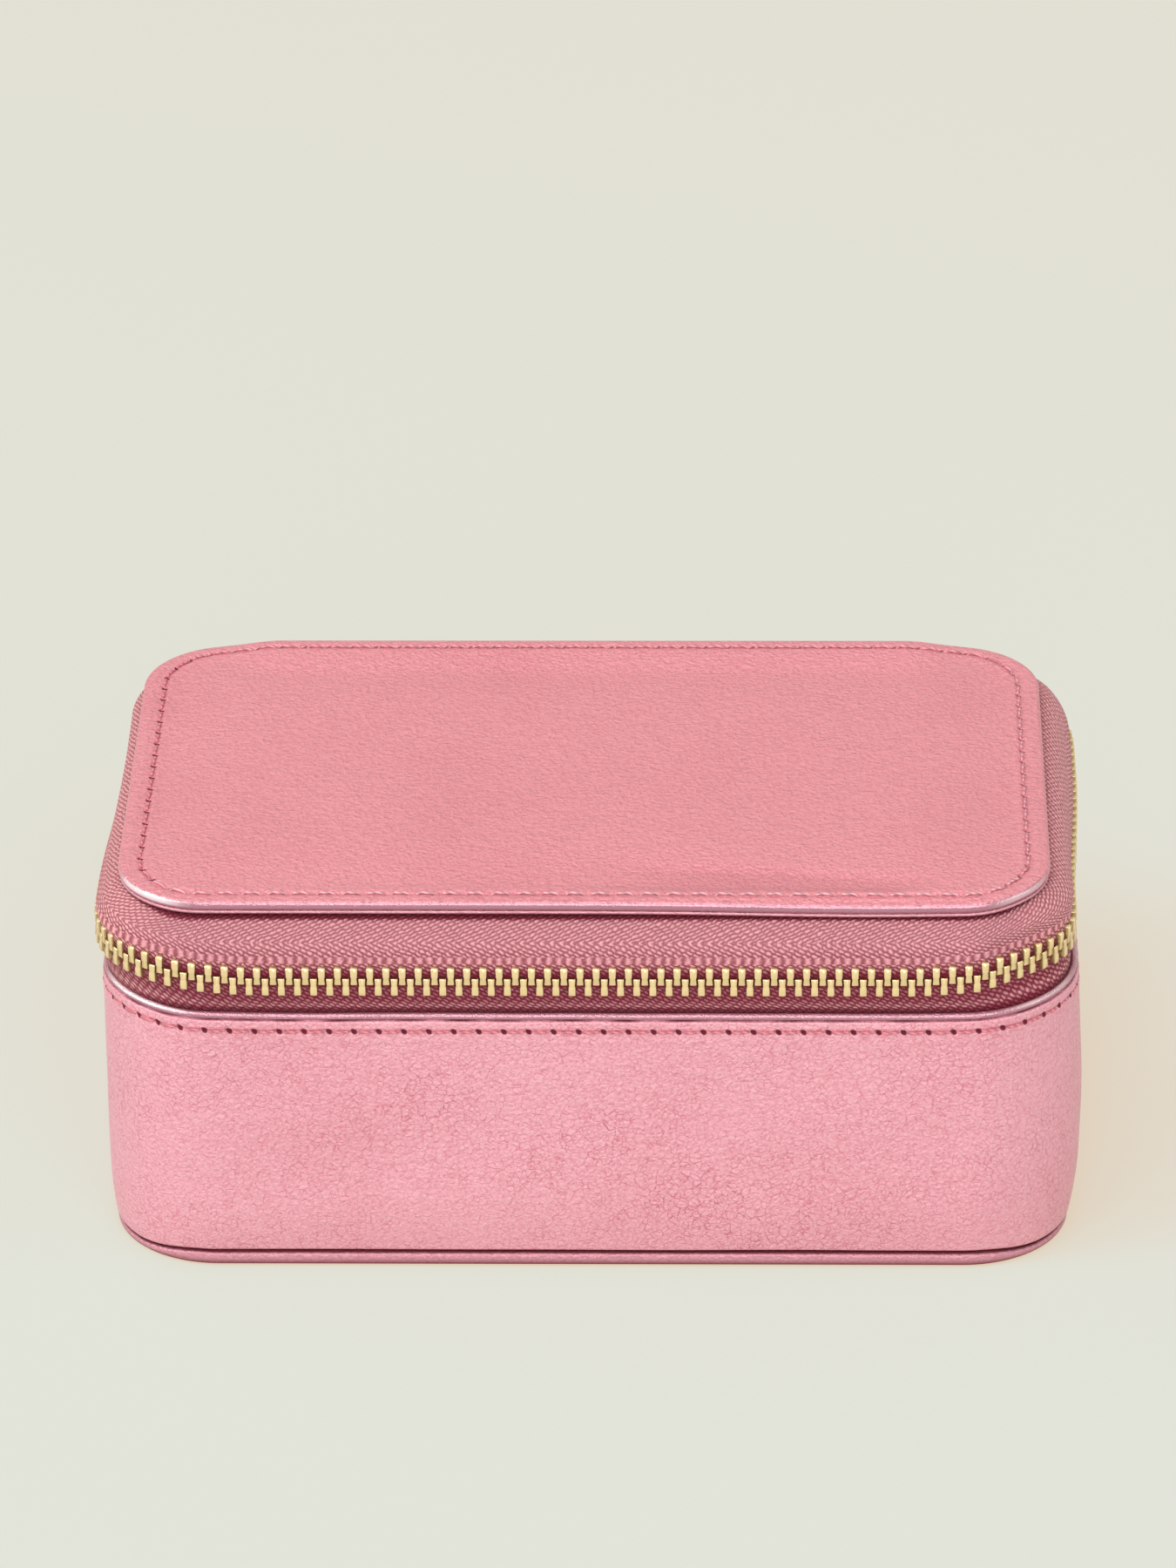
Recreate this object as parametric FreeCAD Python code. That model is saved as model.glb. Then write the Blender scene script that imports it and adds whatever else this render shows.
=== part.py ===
"""Zip-around jewelry box in faux leather, with a padded lid, a fabric hinge strap and a lined inside.

Millimetres. X runs along the width, Y towards the hinge, Z up. The origin is the middle of the bottom face.
"""
import FreeCAD, Part
import math
import os

# Outer form of the base
box_width = 160.0
box_depth = 100.0
corner_radius = 19.0
wall_lean = 1.35
rim_height = 48.0
bottom_thickness = 2.6
bottom_edge_round = 0.7

# Layers of the base wall, from the outside in
base_skin = 0.9
wall_board = 1.5
wall_lining = 0.8
hem_depth = 6.0
hem_round = 0.8
hem_crest = 0.64
seam_depth = 5.0
lining_below_rim = 0.6

# Zip fastener
tape_thickness = 0.6
chain_rise = 6.0
tooth_pitch = 2.6
tooth_length = 1.0
tooth_depth = 2.4
tooth_reach = 2.6
tooth_overlap = 0.5
tooth_chamfer = 0.4
tooth_slot_clearance = 0.03
stop_length = 1.6
last_tooth_angle = 30.0

# Zip slider and its pull
slider_length = 9.0
slider_plate = 0.9
slider_flange = 0.8
slider_clearance = 0.25
slider_row_clearance = 0.35
slider_flare = 0.45
slider_angle = 72.0
parting_post_length = 3.0
parting_post_clearance = 0.15
tape_slider_gap = 0.25
bridge_height = 6.4
bridge_width = 1.6
bridge_bar = 0.9
bridge_opening = 1.9
pull_thickness = 1.1
pull_length = 24.0
pull_width = 7.0
pull_eye_length = 3.4
pull_eye_side = 1.2
pull_eye_clearance = 0.5
pull_bar_clearance = 0.4
pull_taper_length = 5.0

# Lid panel
lid_rise = 9.4
lid_inset = 4.4
lid_hem = 0.7
lid_hem_width = 7.4
lid_hem_setback = 0.2
lid_edge = 1.6
lid_edge_round = 0.45
lid_skin = 0.8
lid_crown = 0.7
lid_crown_slope = 9.0
crown_shoulder = 0.7
lid_crown_flat = 12.0
tape_tuck = 0.9
lid_board = 1.5
lid_board_setback = 2.6
lid_lining = 0.8
foam_clearance = 0.2

# Mirror in the lid
mirror_width = 118.0
mirror_depth = 58.0
mirror_thickness = 2.0
mirror_corner = 5.0
bezel_lap = 4.0
bezel_border = 5.0
bezel_lip = 0.8

# Hinge strap at the back
strap_length = 110.0
strap_bulge = 5.0
strap_steps = 12
strap_end_gap = 0.2

# Fittings inside the base
inside_clearance = 0.1
floor_pad = 2.0
divider_thickness = 3.0
divider_height = 36.0
ring_divider_x = 10.0
ring_roll_count = 6
ring_roll_height = 22.0
ring_roll_gap = 0.4

# Sewing thread
stitch_pitch = 4.0
stitch_length = 2.7
stitch_width = 0.5
stitch_thickness = 0.3
stitch_lift = 0.02
base_stitch_drop = 3.3
lid_stitch_inset = 3.0

# Smallest plan corner of a panel that lies far inside the outline
least_corner = 2.0

# Heights and insets that follow from the values above
chain_height = rim_height + chain_rise
flange_bottom = chain_height + lid_rise
hem_bottom = flange_bottom + tape_thickness
cover_bottom = hem_bottom + lid_hem
lid_top = cover_bottom + lid_edge
rim_tape_inset = 2 * base_skin
board_inner = base_skin + wall_board
lining_inner = max(board_inner, rim_tape_inset + tape_thickness) + wall_lining
chain_inset = tooth_depth / 2
chain_tape_inset = chain_inset - tape_thickness / 2
flange_outer = lid_inset + tape_tuck
flange_inner = lid_inset + lid_hem_setback + lid_hem_width
slope_run = flange_outer - chain_tape_inset
slider_half_height = tooth_reach + slider_row_clearance + slider_flange
slider_wide_half = slider_half_height + slider_flare
lower_tape_bend = chain_height - slider_wide_half - tape_slider_gap
upper_tape_bend = chain_height + slider_wide_half + tape_slider_gap
side_half_x = box_width / 2 - corner_radius
side_half_y = box_depth / 2 - corner_radius
strap_half = strap_length / 2
floor_top = bottom_thickness + floor_pad
overshoot = 1.0


def lean_at(z):
    """How far the leaning wall stands in from the rim's outline at height z."""
    share = (rim_height - z) / (rim_height - bottom_thickness)
    return wall_lean * min(max(share, 0.0), 1.0)


def rounded_rectangle(half_x, half_y, radius, z):
    """A closed wire of four lines and four quarter arcs at height z."""
    near_x = half_x - radius
    near_y = half_y - radius
    diagonal = radius * math.sqrt(0.5)
    edges = []
    for sx, sy in ((1, -1), (1, 1), (-1, 1), (-1, -1)):
        along_y = sx * sy > 0
        centre = FreeCAD.Vector(sx * near_x, sy * near_y, z)
        side_end = centre + FreeCAD.Vector(sx * radius, 0, 0)
        face_end = centre + FreeCAD.Vector(0, sy * radius, 0)
        start, end = (side_end, face_end) if along_y else (face_end, side_end)
        middle = centre + FreeCAD.Vector(sx * diagonal, sy * diagonal, 0)
        if edges:
            edges.append(Part.makeLine(edges[-1].Vertexes[-1].Point, start))
        edges.append(Part.Arc(start, middle, end).toShape())
    edges.append(Part.makeLine(edges[-1].Vertexes[-1].Point, edges[0].Vertexes[0].Point))
    return Part.Wire(edges)


def outline(inset, z):
    """The base's plan outline at height z, inset from its outer skin."""
    inset = inset + lean_at(z)
    radius = max(corner_radius - inset, least_corner)
    return rounded_rectangle(box_width / 2 - inset, box_depth / 2 - inset, radius, z)


def stack(sections):
    """A solid through plan outlines, each given as a height and an inset."""
    wires = [outline(inset, z) for z, inset in sections]
    return Part.makeLoft(wires, True, True)


def block(low, high):
    """A box between two corners."""
    size = [b - a for a, b in zip(low, high)]
    return Part.makeBox(size[0], size[1], size[2], FreeCAD.Vector(*low))


def prism(points, direction):
    """A polygon carried along a direction."""
    wire = Part.makePolygon([FreeCAD.Vector(*p) for p in points + points[:1]])
    return Part.Face(wire).extrude(FreeCAD.Vector(*direction))


def save(name, shape):
    """Write one piece, or one group of like pieces, to its file."""
    shape.exportStep("parts/" + name + ".step")


def station(inset, distance):
    """A place on the plan outline and its forward and outward directions.

    The distance starts where the back run meets the rear left corner, and runs along the left side,
    the front, the right side and the back.
    """
    radius = corner_radius - inset
    quarter = radius * math.pi / 2
    corners = ((-1, 1, 90.0), (-1, -1, 180.0), (1, -1, 270.0), (1, 1, 0.0))
    runs = (2 * side_half_y, 2 * side_half_x, 2 * side_half_y, 2 * side_half_x)
    left = distance % (4 * quarter + sum(runs))
    for (sx, sy, start), run in zip(corners, runs):
        centre = FreeCAD.Vector(sx * side_half_x, sy * side_half_y, 0)
        angle = math.radians(start) + min(left / quarter, 1.0) * math.pi / 2
        outward = FreeCAD.Vector(math.cos(angle), math.sin(angle), 0)
        forward = FreeCAD.Vector(-math.sin(angle), math.cos(angle), 0)
        if left <= quarter:
            return centre + outward * radius, forward, outward
        left = left - quarter
        if left <= run:
            return centre + outward * radius + forward * left, forward, outward
        left = left - run


def clip(distance, length, profile):
    """A profile of outward and upward places about the zip chain, as thick as length along the chain."""
    place, forward, outward = station(chain_inset, distance)
    start = place - forward * (length / 2)
    points = []
    for across, up in profile:
        point = start + outward * across
        points.append((point.x, point.y, chain_height + up))
    return prism(points, tuple(forward * length))


def clamp_profile(head, side):
    """A U that clamps one tape edge, with its head past the chain's middle; side is 1 above, -1 below."""
    half = tooth_depth / 2
    slot = tape_thickness / 2 + tooth_slot_clearance
    tape_edge = tooth_overlap
    points = [
        (-half, tooth_reach),
        (-slot, tooth_reach),
        (-slot, tape_edge),
        (slot, tape_edge),
        (slot, tooth_reach),
        (half, tooth_reach),
        (half, tooth_chamfer - head),
        (half - tooth_chamfer, -head),
        (tooth_chamfer - half, -head),
        (-half, tooth_chamfer - head),
    ]
    return [(across, side * up) for across, up in points]


def build_bottom():
    """A board wrapped in faux leather, whose rounded edge shows under the wall as a piping line."""
    edge = bottom_edge_round
    waist = (bottom_thickness - edge, 0.0)
    cover = stack([(0.0, edge), (edge, 0.0), waist, (bottom_thickness, edge)])
    pocket = stack([(base_skin, base_skin + edge), (bottom_thickness, base_skin + edge)])
    save("bottom_cover", cover.cut(pocket))
    save("bottom_board", pocket)


def build_base_wall():
    """Skin with a turned hem at the rim, stiffening board behind it, and lining inside."""
    hem_start = rim_height - hem_depth
    shoulder = rim_height - hem_round
    outside = stack([(bottom_thickness, 0.0), (shoulder, 0.0), (rim_height, hem_crest)])
    below = stack([(bottom_thickness, base_skin), (hem_start, base_skin)])
    inner_hem = rim_tape_inset
    above = stack([(hem_start, inner_hem), (shoulder, inner_hem), (rim_height, inner_hem - hem_crest)])
    save("base_wall_cover", outside.cut(below).cut(above))
    board_hole = stack([(bottom_thickness, board_inner), (hem_start, board_inner)])
    save("base_wall_board", below.cut(board_hole))
    lining_top = rim_height - lining_below_rim
    lining_outer = lining_inner - wall_lining
    lining = stack([(bottom_thickness, lining_outer), (lining_top, lining_outer)])
    hollow = stack([(bottom_thickness, lining_inner), (lining_top, lining_inner)])
    save("base_wall_lining", lining.cut(hollow))


def build_base_stitches():
    """Straight stitches round the hem, with their thread lying on the skin."""
    z = rim_height - base_stitch_drop
    inset = lean_at(z - stitch_width / 2) - stitch_lift
    length = 4 * (side_half_x + side_half_y) + 2 * math.pi * (corner_radius - inset)
    count = int(length / stitch_pitch)
    solids = []
    for index in range(count):
        place, forward, outward = station(inset, index * length / count)
        solids.append(thread(place, forward, outward * stitch_thickness, z - stitch_width / 2, stitch_width))
    save("base_hem_stitches", Part.makeCompound(solids))


def thread(place, forward, across, low, height):
    """One stitch: a short bar along forward, as deep as across, from low upwards."""
    start = place - forward * (stitch_length / 2)
    end = place + forward * (stitch_length / 2)
    points = [start, end, end + across, start + across]
    return prism([(p.x, p.y, low) for p in points], (0, 0, height))


def inside():
    """The space that the lining leaves in the base, less a small clearance."""
    inset = lining_inner + inside_clearance
    return stack([(bottom_thickness, inset), (rim_height, inset)])


def build_fittings():
    """Floor pad, two dividers and a row of ring rolls."""
    space = inside()
    wide = box_width
    deep = box_depth
    pad = space.common(block((-wide, -deep, bottom_thickness), (wide, deep, floor_top)))
    save("floor_pad", pad)
    left = ring_divider_x - divider_thickness / 2
    right = ring_divider_x + divider_thickness / 2
    top = floor_top + divider_height
    save("ring_divider", space.common(block((left, -deep, floor_top), (right, deep, top))))
    half = divider_thickness / 2
    save("tray_divider", space.common(block((right, -half, floor_top), (wide, half, top))))
    inset = lining_inner + inside_clearance + lean_at(floor_top)
    pitch = (box_depth - 2 * inset) / ring_roll_count
    roll_end = left - inside_clearance
    for index in range(ring_roll_count):
        middle = inset - box_depth / 2 + (index + 0.5) * pitch
        roll = ring_roll(middle, (pitch - ring_roll_gap) / 2, roll_end)
        save("ring_roll_%d" % (index + 1), space.common(roll))


def ring_roll(middle, half, end):
    """A foam roll along X with a flat foot and a round crown."""
    spring = floor_top + ring_roll_height - half
    corners = [(-half, floor_top), (half, floor_top), (half, spring), (0.0, spring + half), (-half, spring)]
    points = [FreeCAD.Vector(-box_width / 2, middle + y, z) for y, z in corners]
    diagonal = half * math.sqrt(0.5)
    right_middle = FreeCAD.Vector(-box_width / 2, middle + diagonal, spring + diagonal)
    left_middle = FreeCAD.Vector(-box_width / 2, middle - diagonal, spring + diagonal)
    edges = [
        Part.makeLine(points[4], points[0]),
        Part.makeLine(points[0], points[1]),
        Part.makeLine(points[1], points[2]),
        Part.Arc(points[2], right_middle, points[3]).toShape(),
        Part.Arc(points[3], left_middle, points[4]).toShape(),
    ]
    return Part.Face(Part.Wire(edges)).extrude(FreeCAD.Vector(box_width / 2 + end, 0, 0))


def split_tape(name, ring):
    """Keep the run round the front and sides, and the two ends that turn the rear corners."""
    wide = box_width
    deep = box_depth
    tall = lid_top + overshoot
    front = block((-wide, -deep, 0), (wide, side_half_y, tall))
    back = block((-wide, side_half_y, 0), (wide, deep, tall))
    strap_gap = strap_half + strap_end_gap
    middle = block((-strap_gap, 0, 0), (strap_gap, deep, tall))
    save(name, ring.common(front))
    save(name + "_ends", ring.common(back).cut(middle))


def build_tapes():
    """The lower tape rises from the hem to the chain; the upper one slopes in under the lid."""
    seam = rim_height - seam_depth
    edge = chain_height - tooth_overlap
    path = [(seam, rim_tape_inset), (rim_height, rim_tape_inset)]
    path = path + [(lower_tape_bend, chain_tape_inset), (edge, chain_tape_inset)]
    behind = [(z, inset + tape_thickness) for z, inset in path]
    split_tape("zip_tape_lower", stack(path).cut(stack(behind)))
    edge = chain_height + tooth_overlap
    climb = flange_bottom - upper_tape_bend
    sloped = tape_thickness * math.hypot(climb, slope_run) / climb
    foot = [(edge, chain_tape_inset), (upper_tape_bend, chain_tape_inset)]
    outside = stack(foot + [(flange_bottom, flange_outer), (hem_bottom, flange_outer)])
    under = [(z, inset + tape_thickness) for z, inset in foot]
    cavity = stack(under + [(flange_bottom, flange_outer + sloped)])
    hole = stack([(flange_bottom, flange_inner), (hem_bottom, flange_inner)])
    split_tape("zip_tape_upper", outside.cut(cavity).cut(hole))


def build_teeth():
    """Two rows of teeth in mesh, with a stop at each end, split where the rear corners begin."""
    radius = corner_radius - chain_inset
    quarter = radius * math.pi / 2
    slider_middle = radius * math.radians(90.0 - slider_angle)
    post_end = slider_middle - slider_length / 2 + parting_post_length
    first = post_end + tooth_pitch / 2
    last = 3 * quarter + 4 * side_half_y + 2 * side_half_x + radius * math.radians(last_tooth_angle)
    count = int((last - first) / tooth_pitch)
    far_stop = first + (count + 0.5) * tooth_pitch
    near_stop = slider_middle - slider_length / 2 - stop_length
    for name, side, shift in (("zip_teeth_lower", -1, 0.0), ("zip_teeth_upper", 1, 0.5)):
        runs = []
        corners = []
        for index in range(count):
            distance = first + (index + shift) * tooth_pitch
            at_corner = station(chain_inset, distance)[0].y > side_half_y
            tooth = clip(distance, tooth_length, clamp_profile(tooth_overlap, side))
            (corners if at_corner else runs).append(tooth)
        for distance in (near_stop, far_stop):
            corners.append(clip(distance, stop_length, clamp_profile(tooth_chamfer - tooth_overlap, side)))
        save(name, Part.makeCompound(runs))
        save(name + "_corners", Part.makeCompound(corners))


def build_slider():
    """Two flanged plates joined by a post, a bridge across the outer plate and a pull that hangs in it.

    They are made on the left side's line and then turned about the rear left corner's axis.
    """
    axis = FreeCAD.Vector(-side_half_x, side_half_y, 0)
    radius = corner_radius - chain_inset
    sagitta = (slider_length / 2) ** 2 / (2 * radius)
    middle = axis.x - radius + sagitta / 2
    half_gap = tooth_depth / 2 + sagitta / 2 + slider_clearance
    half_slot = tape_thickness / 2 + sagitta / 2 + slider_clearance
    body = slider_post(middle, half_gap)
    for side in (-1, 1):
        shell = slider_plan(slider_half_height, slider_wide_half, middle + side * half_slot,
                            side * (half_gap - half_slot + slider_plate))
        narrow = slider_half_height - slider_flange
        wide = slider_wide_half - slider_flange
        channel = slider_plan(narrow, wide, middle + side * half_slot, side * (half_gap - half_slot))
        body = body.fuse(shell.cut(channel))
    face = middle - half_gap - slider_plate
    pieces = {"slider_body": body, "slider_bridge": bridge(face), "zip_pull": pull(face)}
    for name, shape in pieces.items():
        shape.rotate(axis, FreeCAD.Vector(0, 0, 1), -slider_angle)
        save(name, shape)


def slider_plan(narrow, wide, start, depth):
    """The slider's outline, wider at its parting end, carried across by depth from start."""
    front = side_half_y - slider_length / 2
    back = side_half_y + slider_length / 2
    points = [
        (start, front, chain_height - narrow),
        (start, side_half_y, chain_height - narrow),
        (start, back, chain_height - wide),
        (start, back, chain_height + wide),
        (start, side_half_y, chain_height + narrow),
        (start, front, chain_height + narrow),
    ]
    return prism(points, (depth, 0, 0))


def slider_post(middle, half_gap):
    """The wedge at the parting end that holds the two plates together and parts the rows."""
    back = side_half_y + slider_length / 2
    half = tooth_overlap - parting_post_clearance
    waist = back - parting_post_length / 3
    points = [
        (middle - half_gap, back - parting_post_length, chain_height),
        (middle - half_gap, waist, chain_height - half),
        (middle - half_gap, back, chain_height),
        (middle - half_gap, waist, chain_height + half),
    ]
    return prism(points, (2 * half_gap, 0, 0))


def bridge(face):
    """An arch across the outer plate, open between its two feet."""
    half_width = bridge_width / 2
    half_height = bridge_height / 2
    near = side_half_y - half_width
    far = side_half_y + half_width
    outer = face - bridge_opening - bridge_bar
    arch = block((outer, near, chain_height - half_height), (face, far, chain_height + half_height))
    low = chain_height - half_height + bridge_bar
    high = chain_height + half_height - bridge_bar
    return arch.cut(block((face - bridge_opening, near, low), (face, far, high)))


def pull(face):
    """A flat pull that hangs from its end bar, with the bridge's lower foot through its eye."""
    axis_x = face - bridge_opening / 2
    bar = pull_thickness / 2
    axis_z = chain_height - bridge_height / 2 + bridge_bar + pull_bar_clearance + bar
    eye_half = bridge_width / 2 + pull_eye_clearance
    neck_half = eye_half + pull_eye_side
    half = pull_width / 2
    top = axis_z + bar
    shoulder = axis_z - pull_eye_length - pull_taper_length
    round_start = axis_z - pull_length + half
    corners = [(-neck_half, top), (neck_half, top), (neck_half, axis_z - pull_eye_length)]
    corners = corners + [(half, shoulder), (half, round_start)]
    mirrored = [(-half, round_start), (-half, shoulder), (-neck_half, axis_z - pull_eye_length)]
    start = axis_x - bar
    right = [FreeCAD.Vector(start, side_half_y + y, z) for y, z in corners]
    left = [FreeCAD.Vector(start, side_half_y + y, z) for y, z in mirrored + corners[:1]]
    tip = FreeCAD.Vector(start, side_half_y, round_start - half)
    edges = Part.makePolygon(right).Edges
    edges = edges + [Part.Arc(right[-1], tip, left[0]).toShape()] + Part.makePolygon(left).Edges
    plate = Part.Face(Part.Wire(edges)).extrude(FreeCAD.Vector(pull_thickness, 0, 0))
    eye_low = axis_z - pull_eye_length
    eye = block((start, side_half_y - eye_half, eye_low),
                (start + pull_thickness, side_half_y + eye_half, axis_z - bar))
    return plate.cut(eye)


def build_lid():
    """Crowned cover over foam, turned hem, stiffening board and lining."""
    ledge = lid_inset + lid_stitch_inset + stitch_width
    slope_end = flange_inner + lid_crown_slope
    flat_start = slope_end + lid_crown_flat
    quarter = lid_edge / 4
    edge = stack([
        (cover_bottom, lid_inset + lid_edge_round),
        (cover_bottom + quarter, lid_inset),
        (lid_top - quarter, lid_inset),
        (lid_top, lid_inset + 2 * lid_edge_round),
    ])
    shoulder = lid_crown * crown_shoulder
    crown = stack([(lid_top, ledge), (lid_top + shoulder, slope_end), (lid_top + lid_crown, flat_start)])
    outside = edge.fuse(crown).removeSplitter()
    foam_edge = flange_inner + foam_clearance
    under = lid_top - lid_skin
    foam = stack([
        (flange_bottom, foam_edge),
        (under, foam_edge),
        (under + shoulder, slope_end),
        (under + lid_crown, flat_start),
    ])
    save("lid_foam", foam)
    save("lid_cover", outside.cut(foam))
    hem_outer = lid_inset + lid_hem_setback
    hem = stack([(hem_bottom, hem_outer), (cover_bottom, hem_outer)])
    hem_hole = stack([(hem_bottom, flange_inner), (cover_bottom, flange_inner)])
    save("lid_hem", hem.cut(hem_hole))
    board_inset = lid_inset + lid_board_setback
    board_bottom = flange_bottom - lid_board
    board = stack([(board_bottom, board_inset), (flange_bottom, board_inset)])
    save("lid_board", board)
    lining_inset = board_inset - lid_lining
    lining = stack([(board_bottom - lid_lining, lining_inset), (flange_bottom, lining_inset)])
    save("lid_lining", lining.cut(board))
    build_mirror(board_bottom - lid_lining)
    build_lid_stitches()


def build_lid_stitches():
    """Straight stitches round the lid, with their thread lying on the cover."""
    inset = lid_inset + lid_stitch_inset
    radius = corner_radius - inset
    length = 4 * (side_half_x + side_half_y) + 2 * math.pi * radius
    count = int(length / stitch_pitch)
    solids = []
    for index in range(count):
        place, forward, outward = station(inset, index * length / count)
        edge = place - outward * (stitch_width / 2)
        solids.append(thread(edge, forward, outward * stitch_width, lid_top, stitch_thickness))
    save("lid_stitches", Part.makeCompound(solids))


def build_mirror(top):
    """A mirror plate under the lid's lining, held by a bezel that laps over its edge."""
    half_x = mirror_width / 2
    half_y = mirror_depth / 2
    low = top - mirror_thickness

    def plate(margin, z0, z1):
        """A rounded plate larger than the mirror by margin on each side."""
        radius = max(mirror_corner + margin, least_corner)
        ends = [rounded_rectangle(half_x + margin, half_y + margin, radius, z) for z in (z0, z1)]
        return Part.makeLoft(ends, True, True)

    mirror = plate(0.0, low, top)
    save("lid_mirror", mirror)
    frame = plate(bezel_border, low - bezel_lip, top)
    window = plate(-bezel_lap, low - bezel_lip, low)
    save("mirror_bezel", frame.cut(mirror).cut(window))


def build_strap():
    """A strap sewn into the base's hem and under the lid, bowed outwards between the two."""
    back = box_depth / 2
    seam = rim_height - seam_depth
    low = (back - rim_tape_inset - tape_thickness / 2, rim_height)
    high = (back - flange_outer, flange_bottom + tape_thickness / 2)
    outer = []
    inner = []
    for index in range(strap_steps + 1):
        share = index / strap_steps
        y = low[0] + (high[0] - low[0]) * share + strap_bulge * math.sin(math.pi * share) ** 2
        z = low[1] + (high[1] - low[1]) * share
        slope_y = high[0] - low[0] + strap_bulge * math.pi * math.sin(2 * math.pi * share)
        slope_z = high[1] - low[1]
        scale = tape_thickness / 2 / math.hypot(slope_y, slope_z)
        outer.append((y + slope_z * scale, z - slope_y * scale))
        inner.append((y - slope_z * scale, z + slope_y * scale))
    outer[0] = (low[0] + tape_thickness / 2, low[1])
    inner[0] = (low[0] - tape_thickness / 2, low[1])
    outer[-1] = (high[0], high[1] + tape_thickness / 2)
    inner[-1] = (high[0], high[1] - tape_thickness / 2)
    leg_outer = (outer[0][0] - lean_at(seam), seam)
    leg_inner = (inner[0][0] - lean_at(seam), seam)
    flange_end = back - flange_inner
    points = [leg_outer] + outer + [(flange_end, outer[-1][1]), (flange_end, inner[-1][1])]
    points = points + inner[::-1] + [leg_inner]
    save("hinge_strap", prism([(-strap_half, y, z) for y, z in points], (strap_length, 0, 0)))


build_bottom()
build_base_wall()
build_base_stitches()
build_fittings()
build_tapes()
build_teeth()
build_slider()
build_lid()
build_strap()
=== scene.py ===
"""Zip-round jewelry box: the looks of every piece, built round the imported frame.

All lengths are in metres, in the frame of the CAD model: X to the right, Y to the hinge at the back, Z up.
"""

from functools import partialmethod
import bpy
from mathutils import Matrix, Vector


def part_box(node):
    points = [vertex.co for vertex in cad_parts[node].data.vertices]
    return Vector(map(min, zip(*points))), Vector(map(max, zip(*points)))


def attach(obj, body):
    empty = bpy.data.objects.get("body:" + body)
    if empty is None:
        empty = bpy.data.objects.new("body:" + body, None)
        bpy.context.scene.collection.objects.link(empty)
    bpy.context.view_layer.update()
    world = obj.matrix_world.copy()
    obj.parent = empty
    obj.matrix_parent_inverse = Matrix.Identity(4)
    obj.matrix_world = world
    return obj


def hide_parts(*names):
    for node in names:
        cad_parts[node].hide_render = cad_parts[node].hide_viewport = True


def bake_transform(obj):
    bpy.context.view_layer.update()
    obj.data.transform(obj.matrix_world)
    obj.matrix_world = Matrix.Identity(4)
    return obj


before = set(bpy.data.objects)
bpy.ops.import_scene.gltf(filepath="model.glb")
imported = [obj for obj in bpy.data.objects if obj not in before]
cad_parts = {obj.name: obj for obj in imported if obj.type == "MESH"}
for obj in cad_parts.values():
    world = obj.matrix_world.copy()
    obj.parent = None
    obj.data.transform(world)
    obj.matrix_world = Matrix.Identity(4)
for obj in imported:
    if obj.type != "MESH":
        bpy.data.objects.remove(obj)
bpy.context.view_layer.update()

from types import SimpleNamespace

import bmesh
import bpy
import numpy as np
from bpy.props import FloatProperty, FloatVectorProperty, IntProperty, PointerProperty
from mathutils import Matrix

bl_info = {
    "name": "Zip Jewelry Box",
    "version": (1, 0, 0),
    "blender": (4, 5, 0),
    "location": "3D View > Sidebar > Jewelry Box",
    "description": "Builds the leather, zip, lining and stage of a zip-round jewelry box",
    "category": "Object",
}

MM = 0.001
LID_BLEND = {"start": (0.0, 0.05319, 0.04716), "end": (0.0, 0.04681, 0.06084)}
BASE_BLEND = {"start": (0.0, 0.04681, 0.04716), "end": (0.0, 0.05319, 0.06084)}
STRAP_BLEND = {"start": (0.0, 0.050, 0.04567), "end": (0.0, 0.050, 0.06233)}
BOTH_COLUMNS = ("first_column", "last_column")
BOTH_ROWS = ("first_row", "last_row")


def length(name, description, default):
    """A size property in metres."""
    return FloatProperty(name=name, description=description, default=default, min=0.0, unit="LENGTH", precision=5)


def colour(name, description, default):
    """A colour property, as linear red, green and blue."""
    return FloatVectorProperty(name=name, description=description, default=default, size=3, min=0.0, max=1.0,
                               subtype="COLOR")


class BoxSizes(bpy.types.PropertyGroup):
    """Outline of the box and heights of its seams."""
    half_width: length("Half width", "Straight half of the front, between the corners", 61 * MM)
    half_depth: length("Half depth", "Straight half of the side, between the corners", 31 * MM)
    corner: length("Corner radius", "Radius of the upright corners at the rim", 19 * MM)
    lean: length("Lean", "How far the wall stands in at the bottom", 1.35 * MM)
    curl: length("Curl height", "Height below which the wall curls in", 14 * MM)
    belly: length("Belly", "How far the wall swells at half height", 0.3 * MM)
    left_slim: length("Left slimness", "How far the left side stands in", 0.5 * MM)
    right_slim: length("Right slimness", "How far the top of the right side stands in", 0.35 * MM)
    skin: length("Skin thickness", "Thickness of the faux leather", 0.9 * MM)
    bottom: length("Bottom height", "Height of the wrapped bottom panel", 2.6 * MM)
    foot_drop: length("Foot drop", "How far the foot hangs lower at the sides", 1.1 * MM)
    rim: length("Rim height", "Height of the base's rolled rim", 48 * MM)
    rim_roll: length("Rim roll", "Radius of the rim's rolled inner ply", 0.6 * MM)
    rim_pull: length("Rim pull", "How far the rim is pulled up at the front corners", 0.5 * MM)
    hem_stitch: length("Hem stitch height", "Height of the stitch line below the rim", 45.0 * MM)
    lid_seat: length("Lid seat", "Height of the ply under the lid", 64 * MM)
    lid_ply: length("Lid ply", "Thickness of the ply under the lid", 0.7 * MM)
    lid_edge: length("Lid edge height", "Height of the lid's stitched edge", 66.3 * MM)
    lid_inset: length("Lid inset", "How far the lid's edge stands in from the rim", 4.4 * MM)
    crown: length("Lid crown", "How far the padding lifts the lid's middle", 0.7 * MM)
    rear_lift: length("Rear lift", "How far the strap lifts the lid's rear edge", 1.1 * MM)
    front_sag: length("Front sag", "How far the lid's front edge sags at the right", 0.55 * MM)
    lid_shift: length("Lid shift", "How far the lid is sewn on to the left", 0.8 * MM)


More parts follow.
